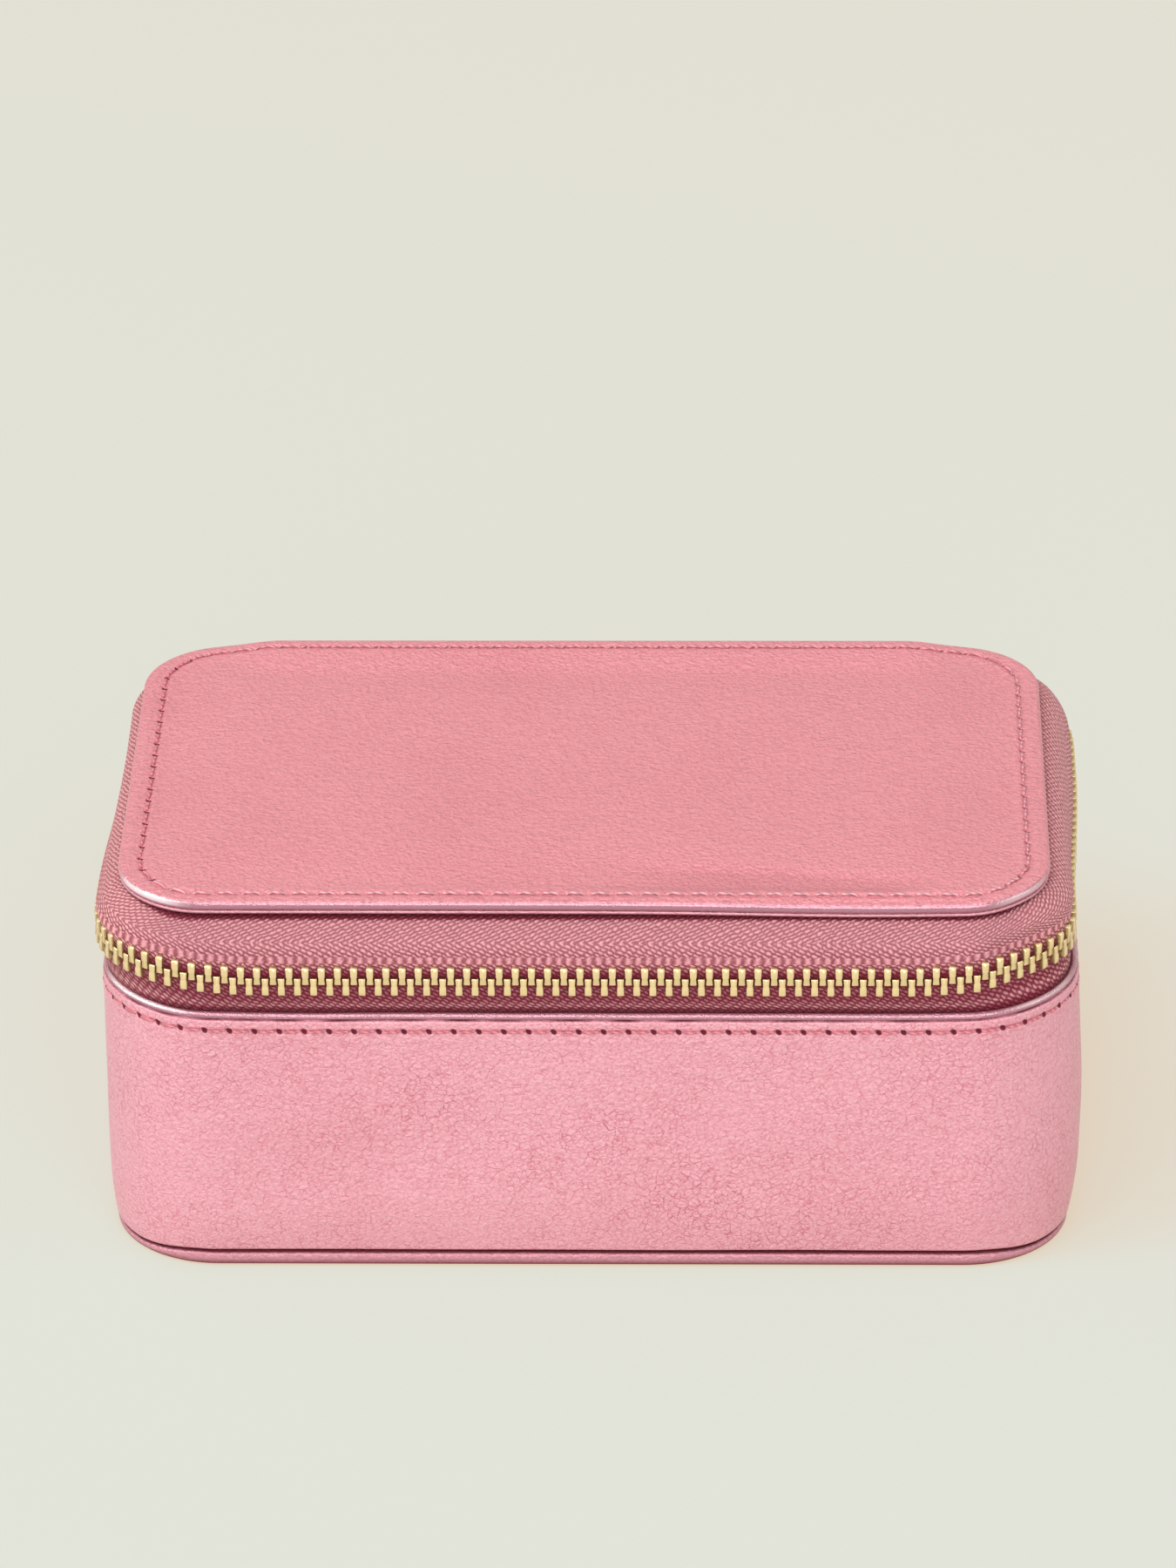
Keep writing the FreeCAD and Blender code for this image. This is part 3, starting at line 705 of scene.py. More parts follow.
def woven_tape(name, colours):
    """Mauve herringbone tape with a warm sheen, from the tape's own UV map. It is paler along the sides, as painted
    light.
    """
    material, shader, _, flat = new_material(name, {
        "Roughness": 0.8, "Specular IOR Level": 0.2, "Sheen Weight": 0.2, "Sheen Roughness": 0.4,
        "Sheen Tint": opaque(colours.tape_sheen)})
    dark = opaque([part ** 1.5 for part in colours.tape], 0.46)
    made = use_group(shader, herringbone_weave, {
        "Place": flat, "Colour": mark_of(shader, "aside").tint(opaque(colours.tape), opaque(colours.tape_pale)),
        "Shade": dark, "Gap": opaque(colours.gap), "Tucked": mark_of(shader, "tucked")})
    plug(shader, {"Base Color": made["Colour"]})
    emboss(shader, made["Height"], 0.22 * MM)
    return material


def twisted_thread(name, colours):
    """Pink thread, paler as painted light where marked: slanted plies by a wave on Object coordinates, half as bright
    between.
    """
    material, shader, place, _ = new_material(name, {"Roughness": 0.5, "Sheen Weight": 0.2})
    ply = place.to("ShaderNodeTexWave", {"Vector": place, "Scale": 420.0, "Distortion": 1.5}, "Fac",
                   bands_direction="DIAGONAL")
    lit = mark_of(shader, "lit")
    bright = lit.tint(opaque(colours.thread), opaque(colours.thread_lit))
    dark = lit.tint(opaque(colours.thread, 0.5), opaque(colours.thread_lit, 0.5))
    plug(shader, {"Base Color": ply.tint(dark, bright)})
    emboss(shader, ply, 0.1 * MM)
    return material


def polished_metal(name, colours):
    """Pale gold with a high polish, and faint scuffs that roughen it and dull its colour a little, brown painted
    shade where it is marked."""
    material, shader, place, _ = new_material(name, {"Metallic": 0.75})
    scuff = place.speckle(900.0, 3.0)
    gold = scuff.step(0.35, 0.65).tint(opaque(colours.metal, 0.94), opaque(colours.metal))
    plug(shader, {"Base Color": mark_of(shader, "tarnished").tint(gold, opaque(colours.tarnish)),
                  "Roughness": scuff.step(0.3, 0.7, 0.27, 0.19)})
    emboss(shader, scuff, 0.01 * MM)
    return material


def mirror_glass(name):
    """Silvered mirror with a breath of haze."""
    material, shader, place, _ = new_material(name, {"Metallic": 1.0, "Base Color": (0.9, 0.91, 0.92, 1.0)})
    plug(shader, {"Roughness": place.speckle(60.0, 3.0).step(0.3, 0.7, 0.03, 0.07)})
    return material


def recycled_board(name):
    """Recycled board: flecks of light and dark fibre."""
    material, shader, place, _ = new_material(name, {"Roughness": 0.9})
    fleck = place.speckle(700.0, 5.0)
    plug(shader, {"Base Color": fleck.step(0.35, 0.65).tint((0.36, 0.32, 0.27, 1.0), (0.58, 0.53, 0.46, 1.0))})
    emboss(shader, fleck, 0.1 * MM)
    return material


def finish_of(name):
    """The material of that name, built when it is first asked for."""
    if name in bpy.data.materials:
        return bpy.data.materials[name]
    scene = bpy.context.scene
    sizes, stitches, colours = scene.box_sizes, scene.stitch_sizes, scene.box_colours
    lid_holes = {"Pitch": outline_length(sizes, stitches.lid_inset) / stitches.lid_count, "Line": stitches.lid_inset,
                 "Long": 0.32 * MM, "Wide": 0.52 * MM, "Slant": -0.7}
    hem_holes = {"Pitch": outline_length(sizes, 0.0) / stitches.hem_count, "Line": sizes.hem_stitch,
                 "Long": 0.48 * MM, "Wide": 0.50 * MM, "Slant": 0.35}
    builder, *options = {
        "lid_leather": (leather, colours.lid, colours, 0.30, 1.25, 1500.0, lid_holes),
        "wall_leather": (leather, colours.base, colours, 1.0, 0.8, 2000.0, hem_holes),
        "plain_leather": (leather, colours.base, colours, 0.3),
        "rose_pile": (lining, colours),
        "mauve_tape": (woven_tape, colours),
        "pink_thread": (twisted_thread, colours),
        "pale_gold": (polished_metal, colours),
        "mirror_silver": (mirror_glass,),
        "grey_board": (recycled_board,),
    }[name]
    return builder(name, *options)


def wall_surface(sizes, stitches):
    """Leather wall: a closed profile of wall, rolled rim and turned hem, carried round the outline.

    Outwards offset = two hem puffs - bottom tuck - stitch groove, deepest at each needle hole + soft waves. The foot
    drops a little at the sides, and the rim is pulled up at the front corners. Above a crevice the inner ply shows as
    a thin roll, five eighths of a circle.
    """
    span = outline_length(sizes, 0.0)
    columns = stitches.hem_count * 8
    u = np.linspace(0.0, span, columns + 1)
    core, normal = outline_at(sizes, u[:-1], 0.0)
    shoulder = sizes.rim - 1.4 * MM
    rise = np.concatenate([np.linspace(sizes.bottom, 5 * MM, 13), np.linspace(6.5 * MM, 41 * MM, 18),
                           np.linspace(42.2 * MM, shoulder, 20)])
    z, along, facing = rise[:, None], u[None, :-1], normal[None, :, 0]
    bottom_tuck = 0.8 * MM * hill(z, sizes.bottom, 0.42 * MM)
    puffs = 0.05 * MM * hill(z, 45.6 * MM, 0.55 * MM) + 0.06 * MM * hill(z, 43.3 * MM, 0.8 * MM)
    holes = 0.35 + 0.65 * pucker(along, span / stitches.hem_count)
    groove = stitches.groove * hill(z, sizes.hem_stitch, 0.36 * MM) * holes
    waves = 0.14 * MM * ripple(along, z * 1.6, 38 * MM, 5) * smooth(sizes.rim, 40 * MM, z)
    proud = puffs - bottom_tuck - groove + waves
    drop = sizes.foot_drop * foot_aside(normal) * smooth(9 * MM, sizes.bottom, z)
    pull = sizes.rim_pull * corner_pull(*(core + normal * sizes.corner).T)
    outside = stacked(wall_inset(sizes, z, facing) - proud, z - drop + pull * smooth(34 * MM, 44 * MM, z))
    rim_wave = 0.09 * MM * ripple(along, 0 * along, 24 * MM, 8) + pull
    rim_inset = wall_inset(sizes, sizes.rim, facing)
    tuck = stacked(rim_inset + np.array([[0.12], [0.42], [0.55]]) * MM,
                   shoulder + np.array([[0.14], [0.20], [0.24]]) * MM + rim_wave)
    turn = np.radians(np.linspace(-45.0, 180.0, 13))[:, None]
    rim = stacked(rim_inset + 0.80 * MM - sizes.rim_roll * np.cos(turn),
                  sizes.rim - sizes.rim_roll + sizes.rim_roll * np.sin(turn) + rim_wave)
    hem_end = 42 * MM
    inside = np.array([(2 * sizes.skin, shoulder), (2 * sizes.skin, hem_end), (sizes.skin, hem_end),
                       (sizes.skin + sizes.lean, sizes.bottom)])
    inside = np.broadcast_to(inside[:, None], (len(inside), columns, 2))
    profile = np.concatenate([outside, tuck, rim, inside])
    grid = carry(sizes, profile, core, normal)
    v = np.concatenate([rise, profile[len(rise):, 0, 1], rise[:1]])

    first_tuck, first_roll = len(rise), len(rise) + len(tuck)
    rolled, seam, polished = np.zeros((3, *grid.shape[:2]))
    rolled[first_roll:-len(inside)] = np.where(turn < 2.6, 1.0, 0.4)
    # Painted shade: dark in the groove above the bottom panel, inside the turned hem, and in the crevice below the
    # rim roll.
    seam[:first_tuck] = 0.9 * smooth(sizes.bottom + 0.7 * MM, sizes.bottom + 0.25 * MM, z)
    seam[-len(inside):] = [[0.6], [0.8], [0.0], [0.0]]
    crevice = np.array([[0.1], [0.75], [0.95], [0.45]]) * (0.6 + 0.9 * ripple(along, 0 * along, 9 * MM, 11))
    seam[first_tuck:first_tuck + len(crevice)] = np.clip(crevice, 0.0, 1.0)
    # Painted highlight on the upper side of the rim roll at the front corners.
    polished[first_roll:-len(inside)] = smooth(0.1, 0.5, turn) * smooth(1.9, 1.4, turn) * corner_polish(normal)
    x, height = grid[..., 0] / MM, grid[..., 2] / MM
    worn = 0.32 * hill(x, 25, 16) * hill(height, 9, 9) + 0.12 * hill(x, -2, 12) * hill(height, 23, 9)
    spared = np.clip(0.38 - worn - 0.22 * ripple(x, 1.4 * height, 30.0, 17), 0.0, 1.0)
    return surface("wall_skin", grid, True, True, stacked(u[None], v[:, None]), rolled=rolled, seam=seam, pierced=1.0,
                   polished=polished, spared=spared)


def bottom_surface(sizes):
    """Wrapped bottom panel: a squarish half-round edge between two flat faces, carried round the outline.

    At the sides the edge is lower, with the wall's foot.
    """
    core, normal = whole_outline(sizes, sizes.lean, 420)
    aside = foot_aside(normal)[None]
    turn = np.linspace(-np.pi / 2.0, np.pi / 2.0, 13)[:, None]
    inset = sizes.lean + 0.1 * MM * aside + 1.25 * MM - 1.35 * MM * squared(np.cos(turn), 0.7)
    high = sizes.bottom - sizes.foot_drop * aside
    edge = stacked(inset, high / 2.0 * (1.0 + squared(np.sin(turn), 0.8)))
    inner = stacked(4 * MM, high)
    grid = carry(sizes, np.concatenate([inner * (1.0, 0.0), edge, inner]), core, normal)
    rolled = np.concatenate([[[0.0]], 0.4 * squared(np.cos(turn), 0.5), [[0.0]]])
    # Painted shade: a little over the whole edge, dark on its lower side toward the floor and at its top by the wall,
    # full on the hidden top face.
    seam = np.concatenate([[[0.0]], 0.2 + 0.65 * smooth(0.1, -0.7, turn) + 0.75 * smooth(0.6, 1.1, turn), [[1.0]]])
    return surface("bottom_wrap", grid, round_columns=True, caps=BOTH_ROWS, rolled=rolled, seam=seam)


def lid_surface(sizes, stitches):
    """Padded lid: flat underside, half-round edge, stitched ledge and crown, then rings drawn to a middle line.

    Height above the edge = crown's smooth step - stitch groove, deepest at each hole + ledge puffs + soft waves - a
    dent at the front right. Inside the last ring each point goes straight to the middle line before or behind it.
    Then all of it is laid as the lid is sewn on.
    """
    columns = stitches.lid_count * 8
    span = outline_length(sizes, stitches.lid_inset)
    u = np.linspace(0.0, span, columns + 1)
    core, normal = outline_at(sizes, u[:-1], stitches.lid_inset)
    half = (sizes.lid_edge - sizes.lid_seat - sizes.lid_ply) / 2.0
    turn = np.linspace(-np.pi / 2.0, np.pi / 2.0, 13)
    edge = stacked(sizes.lid_inset + 0.85 * MM - 0.85 * MM * squared(np.cos(turn), 0.75),
                   sizes.lid_edge - half + half * squared(np.sin(turn), 0.9))
    last_ring, middle_half, middle_depth = 17 * MM, 36 * MM, 26 * MM
    under = stacked(np.array([last_ring, 12 * MM, 8 * MM]), sizes.lid_edge - 2.0 * half)
    inset = np.concatenate([np.linspace(5.6 * MM, 9.2 * MM, 25), np.linspace(9.9 * MM, last_ring, 9)])
    rows = np.concatenate([under, edge, stacked(inset, sizes.lid_edge)])
    grid = carry(sizes, rows, core, normal)
    share = np.linspace(0.0, 1.0, 13)[1:, None, None]
    ring = grid[-1:]
    middle = stacked(np.clip(ring[..., 0], -middle_half, middle_half), 0.0, ring[..., 2])
    grid = np.concatenate([grid, ring + (middle - ring) * share])
    depth = np.concatenate([rows[:, 0], last_ring + middle_depth * share[:, 0, 0]])[:, None]

    top = len(under) + len(edge)
    x, y = grid[..., 0], grid[..., 1]
    margin = lid_margin(stitches, normal)
    crown = sizes.crown * smooth(8 * MM, 24 * MM, depth)
    holes = 0.3 + 0.7 * pucker(u[None, :-1], span / stitches.lid_count)
    groove = stitches.groove * hill(depth - margin, stitches.lid_inset, 0.45 * MM) * holes
    puffs = 0.10 * MM * hill(depth, 6.2 * MM, 0.5 * MM) + 0.14 * MM * hill(depth, 8.8 * MM, 0.9 * MM)
    dent_edge = y + 0.09 * (x - 30 * MM) + 0.5 * MM * ripple(x, 0 * x, 9 * MM, 6)
    dent = smooth(-33.5 * MM, -36.5 * MM, dent_edge) * smooth(-6 * MM, 22 * MM, x) * smooth(58 * MM, 48 * MM, x)
    soft = (0.18 * MM * ripple(x, y, 46 * MM, 3) - 0.45 * MM * dent) * smooth(7.8 * MM, 10 * MM, depth)
    grid[top:, :, 2] += (crown - groove + puffs + soft)[top:]
    settle_lid(sizes, grid)

    rolled, polished = np.zeros((2, *grid.shape[:2]))
    rolled[len(under):top] = np.outer(smooth(1.3, 0.9, turn), 0.15 + 0.85 * smooth(0.05, -0.7, normal[:, 1]))
    # Painted highlight on the upper side of the lid's edge at the front corners.
    polished[len(under):top] = np.outer(smooth(-0.5, 0.1, turn) * smooth(1.2, 0.8, turn), corner_polish(normal))
    # Painted shade in the needle holes: strongest along the left side, about half at the right and the back, faint in
    # front.
    pierced = (0.15 + 0.85 * smooth(0.35, 0.9, -normal[:, 0]) + 0.5 * smooth(0.35, 0.9, normal[:, 0])
               + 0.5 * smooth(0.6, 0.95, normal[:, 1]))
    v = np.concatenate([-rows[:top, 0], depth[top:, 0]])[:, None] - np.append(margin, margin[:1])
    # Painted shade: the dent band at the front right is a little darker.
    return surface("lid_pad", grid, round_columns=True, uv=stacked(u[None], v), caps=("first_row",), rolled=rolled,
                   polished=polished, seam=0.13 * dent * smooth(7.4 * MM, 8.4 * MM, depth), pierced=pierced)


def hem_surface(sizes):
    """Turned ply under the lid: a flat band with a round outer edge, carried round the outline."""
    core, normal = whole_outline(sizes, sizes.lid_inset, 480)
    turn = np.linspace(-np.pi / 2.0, np.pi / 2.0, 9)[:, None]
    half, inner = sizes.lid_ply / 2.0, 12 * MM
    edge = stacked(sizes.lid_inset + 0.55 * MM - half * np.cos(turn), sizes.lid_seat + half + half * np.sin(turn))
    flat = [[(inner, sizes.lid_seat + sizes.lid_ply)], [(inner, sizes.lid_seat)]]
    grid = carry(sizes, np.concatenate([edge, flat]), core, normal)
    settle_lid(sizes, grid)
    # Painted shade: dark under the ply's round edge, a little on its top, and on the hidden flat band.
    seam = np.concatenate([0.9 * smooth(-0.1, -0.9, turn) + 0.3 * smooth(0.7, 1.3, turn), [[1.0], [1.0]]])
    rolled = np.concatenate([0.35 * np.cos(turn), [[0.0], [0.0]]])
    return surface("lid_ply", grid, True, True, seam=seam, rolled=rolled)


def stitch_shape(pitch, stitches):
    """One stitch: a thread along an arch whose ends dip into the needle holes, slightly aslant."""
    share = np.linspace(-1.0, 1.0, 8)
    half, slant = stitches.share * pitch / 2.0, 0.10 * MM
    line = stacked(share * half, share * slant, stitches.arch * (0.5 - share ** 4))
    return tube_shape(line, stitches.thread / 2.0 * (1.0 - 0.45 * share ** 6), 6)


def stitch_line(name, sizes, stitches, count, inset, height, on_wall):
    """Stitches at the middle of each pitch along the outline, lying on the wall or on the lid.

    On the wall they sink in along the sides. On the lid they run further in along the sides, and the thread gets
    painted
    light: paler along the front, and less so at the right and the back.
    """
    span = outline_length(sizes, inset)
    core, normal = outline_at(sizes, (np.arange(count) + 0.5) * span / count, inset)
    along, out, up = directions(normal)
    right, back = normal.T
    if on_wall:
        further = wall_inset(sizes, height, right) + stitches.hem_sink * smooth(0.6, 0.95, np.abs(right))
    else:
        further = lid_margin(stitches, normal)
    flat = core + normal * (sizes.corner - inset - further)[:, None]
    place = stacked(*flat.T, height)
    if on_wall:
        place[:, 2] += sizes.rim_pull * corner_pull(*flat.T)
        across, away, lit = up, out, 0.0 * right
    else:
        settle_lid(sizes, place)
        across, away = out, up
        # Painted light on the thread: along the front, and about half as much at the right and the back.
        lit = smooth(0.3, 0.9, -back) + 0.5 * smooth(0.5, 0.95, right) + 0.45 * smooth(0.6, 0.95, back)
    points, faces = stitch_shape(span / count, stitches)
    return repeated(name, points, faces, place, along, across, away, lit=lit[:, None])


def zip_pull(facing, x, y):
    """How far the chain stands in, stands up and sways to the right, from its facing, the normal's X, and its place.

    It is pulled up at the front corners and in at the right one, and sways left in front and right behind.
    """
    sway_left, sway_right = 0.5 * MM, 0.8 * MM
    pull = corner_pull(x, y)
    up = pull * (1.45 * MM - 0.15 * MM * np.sign(facing))
    inwards = pull * (1.5 * MM - 1.2 * MM * smooth(0.6, 1.0, facing)) * smooth(0.0, 0.4, facing)
    sway = (sway_left + sway_right) * smooth(-25 * MM, 18 * MM, y) - sway_left
    return inwards, up, sway * smooth(44 * MM, 28 * MM, y)


def tape_surface(name, sizes, zips, front, side, bulge, dim, start):
    """Zip tape: a band's closed profile carried from under one end of the strap round the front to the other.

    The middle line goes from the front's to the plumper side's as the outline turns to the side, where the tape is
    also paler, as painted light. The tape thickens to a corded edge by the teeth, bulges along the left by a hump, is
    pulled and sways with the chain, and curls in at its ends under the strap. Its UV map is the distance along and
    the distance across from start. It gets painted shade by the teeth, under the lid's edge and behind the rim, and
    dim is that shade beside the teeth.
    """
    gap = sizes.half_width - zips.strap_half
    last = outline_length(sizes, zips.inset) - 2.0 * sizes.half_width
    distance = np.linspace(-gap - zips.tuck, last + gap + zips.tuck, 760)
    core, normal = outline_at(sizes, distance, zips.inset)
    x, y = (core + normal * (sizes.corner - zips.inset)).T
    run = distances(front)
    thickness = zips.tape + 0.3 * MM * smooth(1.2 * MM, 0.7 * MM, run)
    plain, plump = band(front, thickness)[:, None], band(side, thickness)[:, None]
    aside = smooth(0.35, 0.95, np.abs(normal[:, 0]))
    rows = plain + (plump - plain) * aside[None, :, None]
    z = rows[..., 1]
    left = smooth(0.2, 0.95, -normal[:, 0]) * (0.75 + 0.25 * smooth(8 * MM, -25 * MM, y))
    hump = bulge * hill(z, 57.2 * MM, 1.9 * MM) * left * smooth(46 * MM, 36 * MM, y)
    wave = 0.12 * MM * ripple(distance, 0 * distance, 34 * MM, 14)
    above_teeth = smooth(54 * MM, 57 * MM, z) * smooth(62.5 * MM, 60 * MM, z)
    rows[..., 0] -= hump + wave * above_teeth

    across = np.concatenate([run, run[-1:], run[::-1], run[:1]])[:, None]
    # Painted shade: dark on the corded edge by the teeth, then at dim beside them.
    beside = np.interp(across, np.array([0.0, 0.7, 1.3, 2.0, 3.6, 5.2]) * MM, [1.0, 0.95, 0.65, dim, 0.9 * dim, 0.0])
    lid = sizes.lid_inset + sizes.lid_shift * normal[:, 0]
    # Painted shade under the lid's edge and behind the rim.
    covered = smooth(lid + 0.3 * MM, lid + 0.8 * MM, rows[..., 0]) * smooth(58 * MM, 60 * MM, z)
    behind = smooth(sizes.rim + 1.7 * MM, sizes.rim + 0.3 * MM, z)
    tucked = np.maximum(beside, 0.95 * np.maximum(covered, behind))

    inwards, up, sway = zip_pull(normal[:, 0], x, y)
    free = smooth(47 * MM, 51 * MM, z) * smooth(63 * MM, 57.5 * MM, z)
    by_strap = smooth(gap - 3.5 * MM, gap + 0.2 * MM, np.maximum(-distance, distance - last))
    curl = zips.curl * by_strap * smooth(46.5 * MM, 48.5 * MM, z) * smooth(63.4 * MM, 62 * MM, z)
    grid = carry(sizes, rows + stacked(inwards * free + curl, up * free), core, normal)
    grid[..., 0] += sway * free
    uv = stacked(distance[None], np.append(across, across[:1], axis=0) + start)
    # The aside mark also draws the tape paler along the sides, as painted light.
    return surface(name, grid, round_rows=True, uv=uv, caps=BOTH_COLUMNS, tucked=tucked, aside=aside)


def tooth_shape(side):
    """One tooth: an eight-sided ring at each level from the tape to the tip, and each point's painted shade.

    The body is wide and flat in front, the head narrows to fit between two teeth of the other row, and a dark pit
    sinks into its tip. The pit's dark and the sides' brown are painted shade.
    """
    level = np.array([2.52, 2.30, 0.95, 0.70, -0.40, -0.60, -0.38])[:, None] * MM
    long = np.array([0.55, 0.64, 0.58, 0.50, 0.60, 0.54, 0.34])[:, None] * MM
    deep = np.array([0.96, 1.22, 1.20, 1.10, 1.10, 0.96, 0.62])[:, None] * MM
    # Painted shade at each level: darkest in the pit at the tip.
    dark = np.array([0.10, 0.00, 0.00, 0.10, 0.05, 0.10, 1.00])[:, None]
    a = np.array([1.0, 1.0, 0.80, -0.80, -1.0, -1.0, -0.80, 0.80])
    b = np.array([-0.84, 0.80, 1.0, 1.0, 0.80, -0.84, -1.0, -1.0])
    # Painted shade round each ring: the sides and the back browner than the face.
    brown = np.array([1.0, 0.55, 0.0, 0.0, 0.55, 1.0, 1.0, 1.0])
    points = stacked(long * a, deep * b, side * level)
    return points.reshape(-1, 3), ring_faces(len(level), len(a)), np.maximum(dark, brown).ravel()


def chain_row(name, sizes, zips, distance, side, stretch=1.0):
    """Teeth of one row at distances along the chain, each in line with the chain there."""
    core, normal = outline_at(sizes, distance, zips.inset)
    flat = core + normal * (sizes.corner - zips.inset)
    inwards, rise, sway = zip_pull(normal[:, 0], *flat.T)
    flat = flat - normal * inwards[:, None]
    along, out, up = directions(normal)
    points, faces, tarnish = tooth_shape(side)
    place = stacked(flat[:, 0] + sway, flat[:, 1], zips.height + rise)
    return repeated(name, points, faces, place, along * stretch, out, up, tarnished=tarnish)


def strap_surface(zips):
    """Hinge strap: a leather band from inside the hem, bowed out behind the hinge, to under the lid, carried in X."""
    share = np.linspace(0.0, 1.0, 25)
    foot, head, bow, rim, rise = 47.9 * MM, 44.7 * MM, 5.0 * MM, 48.0 * MM, 15.7 * MM
    leg = stacked(foot, np.linspace(43.2 * MM, 47.4 * MM, 5))
    bowed = stacked(foot + (head - foot) * share + bow * np.sin(np.pi * share) ** 2, rim + rise * share)
    flange = stacked(np.linspace(44.0 * MM, 38.2 * MM, 6), 63.8 * MM)
    middle = rounded(np.concatenate([leg, bowed, flange]), 3, 54)
    y, z = band(middle, np.full(len(middle), zips.strap)).T[:, :, None]
    x = np.linspace(-zips.strap_half, zips.strap_half, 111)
    sag = 0.35 * MM * ripple(x, 0 * x, 30 * MM, 21) * smooth(49.0 * MM, 51.5 * MM, y)
    return surface("back_strap", stacked(x, y + sag, z), round_rows=True, caps=BOTH_COLUMNS)


def plate_surface(name, sizes, node, ease):
    """Flat plate in a node's box, with eased edges: quarter circles of radius ease at top and bottom."""
    low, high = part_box(node)
    inset = sizes.half_width + sizes.corner - high[0]
    core, normal = whole_outline(sizes, inset, 360)
    turn = np.linspace(0.0, np.pi / 2.0, 6)
    lower = stacked(inset + ease - ease * np.sin(turn), low[2] + ease - ease * np.cos(turn))
    upper = stacked(inset + ease - ease * np.cos(turn), high[2] - ease + ease * np.sin(turn))
    grid = carry(sizes, np.concatenate([lower, upper]), core, normal)
    return surface(name, grid, round_columns=True, caps=BOTH_ROWS)


def ring_surface(name, sizes, rows, count, rolled=0.0):
    """Closed profile of (inset, height) rows carried once round the outline."""
    core, normal = whole_outline(sizes, 0.0, count)
    return surface(name, carry(sizes, np.asarray(rows), core, normal), True, True, rolled=rolled)


def slab_surface(name, low, high, axis, ease):
    """Divider: an upright slab with a round top, carried along X or Y, its ends eased by quarter circles."""
    side = 1 - axis
    half = (high[side] - low[side]) / 2.0
    shoulder = high[2] - half
    turn = np.linspace(0.0, np.pi, 13)
    profile = np.concatenate([stacked(half * np.cos(turn), shoulder + half * np.sin(turn)),
                              stacked(-half, np.linspace(shoulder, low[2], 13)[1:]),
                              stacked(half, np.linspace(low[2], shoulder, 13)[:-1])])
    ends = np.array([0.0, 0.15, 0.45, 1.0])
    places = np.concatenate([low[axis] + ease * ends, high[axis] - ease * ends[::-1]])
    arc = 0.72 + 0.28 * np.sqrt(ends * (2.0 - ends))
    grid = np.empty((len(profile), len(places), 3))
    grid[..., axis] = places
    grid[..., side] = (high[side] + low[side]) / 2.0 + profile[:, :1] * np.concatenate([arc, arc[::-1]])
    grid[..., 2] = profile[:, 1:]
    return surface(name, grid, round_rows=True, caps=BOTH_COLUMNS)


def roll_surface(name, sizes, low, high, seed):
    """Ring roll: a plump section with a round crown, carried along X from the curved wall to the divider.

    The half width follows a rounded box that swells in the middle height. Both ends are rounded off, the left end
    follows the wall's corner, and soft waves dent the crown.
    """
    turn = np.linspace(0.0, 2.0 * np.pi, 48, endpoint=False)[:, None]
    half, tall = (high[1] - low[1]) / 2.0, high[2] - low[2]
    y = half * squared(np.cos(turn), 0.5)
    z = tall / 2.0 * (1.0 + squared(np.sin(turn), np.where(np.sin(turn) > 0, 0.85, 0.4)))
    share = np.linspace(0.0, 1.0, 45)
    ends = 0.75 + 0.25 * np.sqrt(1.0 - np.abs(2.0 * share - 1.0) ** 14)
    across = (low[1] + high[1]) / 2.0 + y * ends
    wall_radius, widest = 14.3 * MM, 14.0 * MM
    curve = np.clip(np.abs(across) - sizes.half_depth, 0.0, widest)
    left = np.maximum(-sizes.half_width - np.sqrt(wall_radius ** 2 - curve ** 2), low[0])
    x = left + (high[0] - left) * share
    dents = 0.45 * MM * ripple(x, across + 3 * seed * MM, 22 * MM, seed) * smooth(0.5, 1.0, z / tall)
    rise = low[2] + z * (0.96 + 0.04 * ends) + dents
    return surface(name, stacked(x, across, np.minimum(rise, high[2])), round_rows=True, caps=BOTH_COLUMNS)


def pillow_shape(edge, thickness, ease):
    """Points and faces of a flat pressing: its outline drawn in by a quarter circle of radius ease at both faces.

    edge is points by (a, b). The outline is moved in along the line to its middle, and c is the thickness.
    """
    turn = np.linspace(0.0, np.pi / 2.0, 4)
    drawn = ease * np.concatenate([1.0 - np.sin(turn), 1.0 - np.cos(turn)])[:, None]
    level = np.concatenate([ease - ease * np.cos(turn), thickness - ease + ease * np.sin(turn)])[:, None]
    scale = 1.0 - drawn / np.linalg.norm(edge, axis=1)
    points = stacked(edge[:, 0] * scale, edge[:, 1] * scale, level)
    return points.reshape(-1, 3), ring_faces(len(level), len(edge))


def eyed_shape(edge, eye, thickness, ease):
    """Points and faces of a flat pressing with an eye: rows from the eye to the edge and back, eased at both faces.

    edge and eye are outlines of as many points each, and the eased rows lie between them.
    """
    inward = (eye - edge) / np.linalg.norm(eye - edge, axis=1, keepdims=True) * ease
    rows = [(eye, ease), (eye - inward, 0.0), (edge + inward, 0.0), (edge + 0.3 * inward, 0.3 * ease), (edge, ease),
            (edge, thickness - ease), (edge + 0.3 * inward, thickness - 0.3 * ease), (edge + inward, thickness),
            (eye - inward, thickness), (eye, thickness - ease)]
    points = np.concatenate([stacked(*flat.T, level) for flat, level in rows])
    return points, grid_faces(len(rows), len(edge), True, True)[0]


def slider_frame(sizes, zips):
    """Where the slider stands: the corner's axis, its outward direction, the chain's direction, and the up axis."""
    turn = np.radians(72.0)
    out = np.array([[-np.cos(turn), np.sin(turn), 0.0]])
    along = np.array([[-np.sin(turn), -np.cos(turn), 0.0]])
    axis = np.array([[-sizes.half_width, sizes.half_depth, zips.height]])
    return axis, out, along, np.array([[0.0, 0.0, 1.0]])


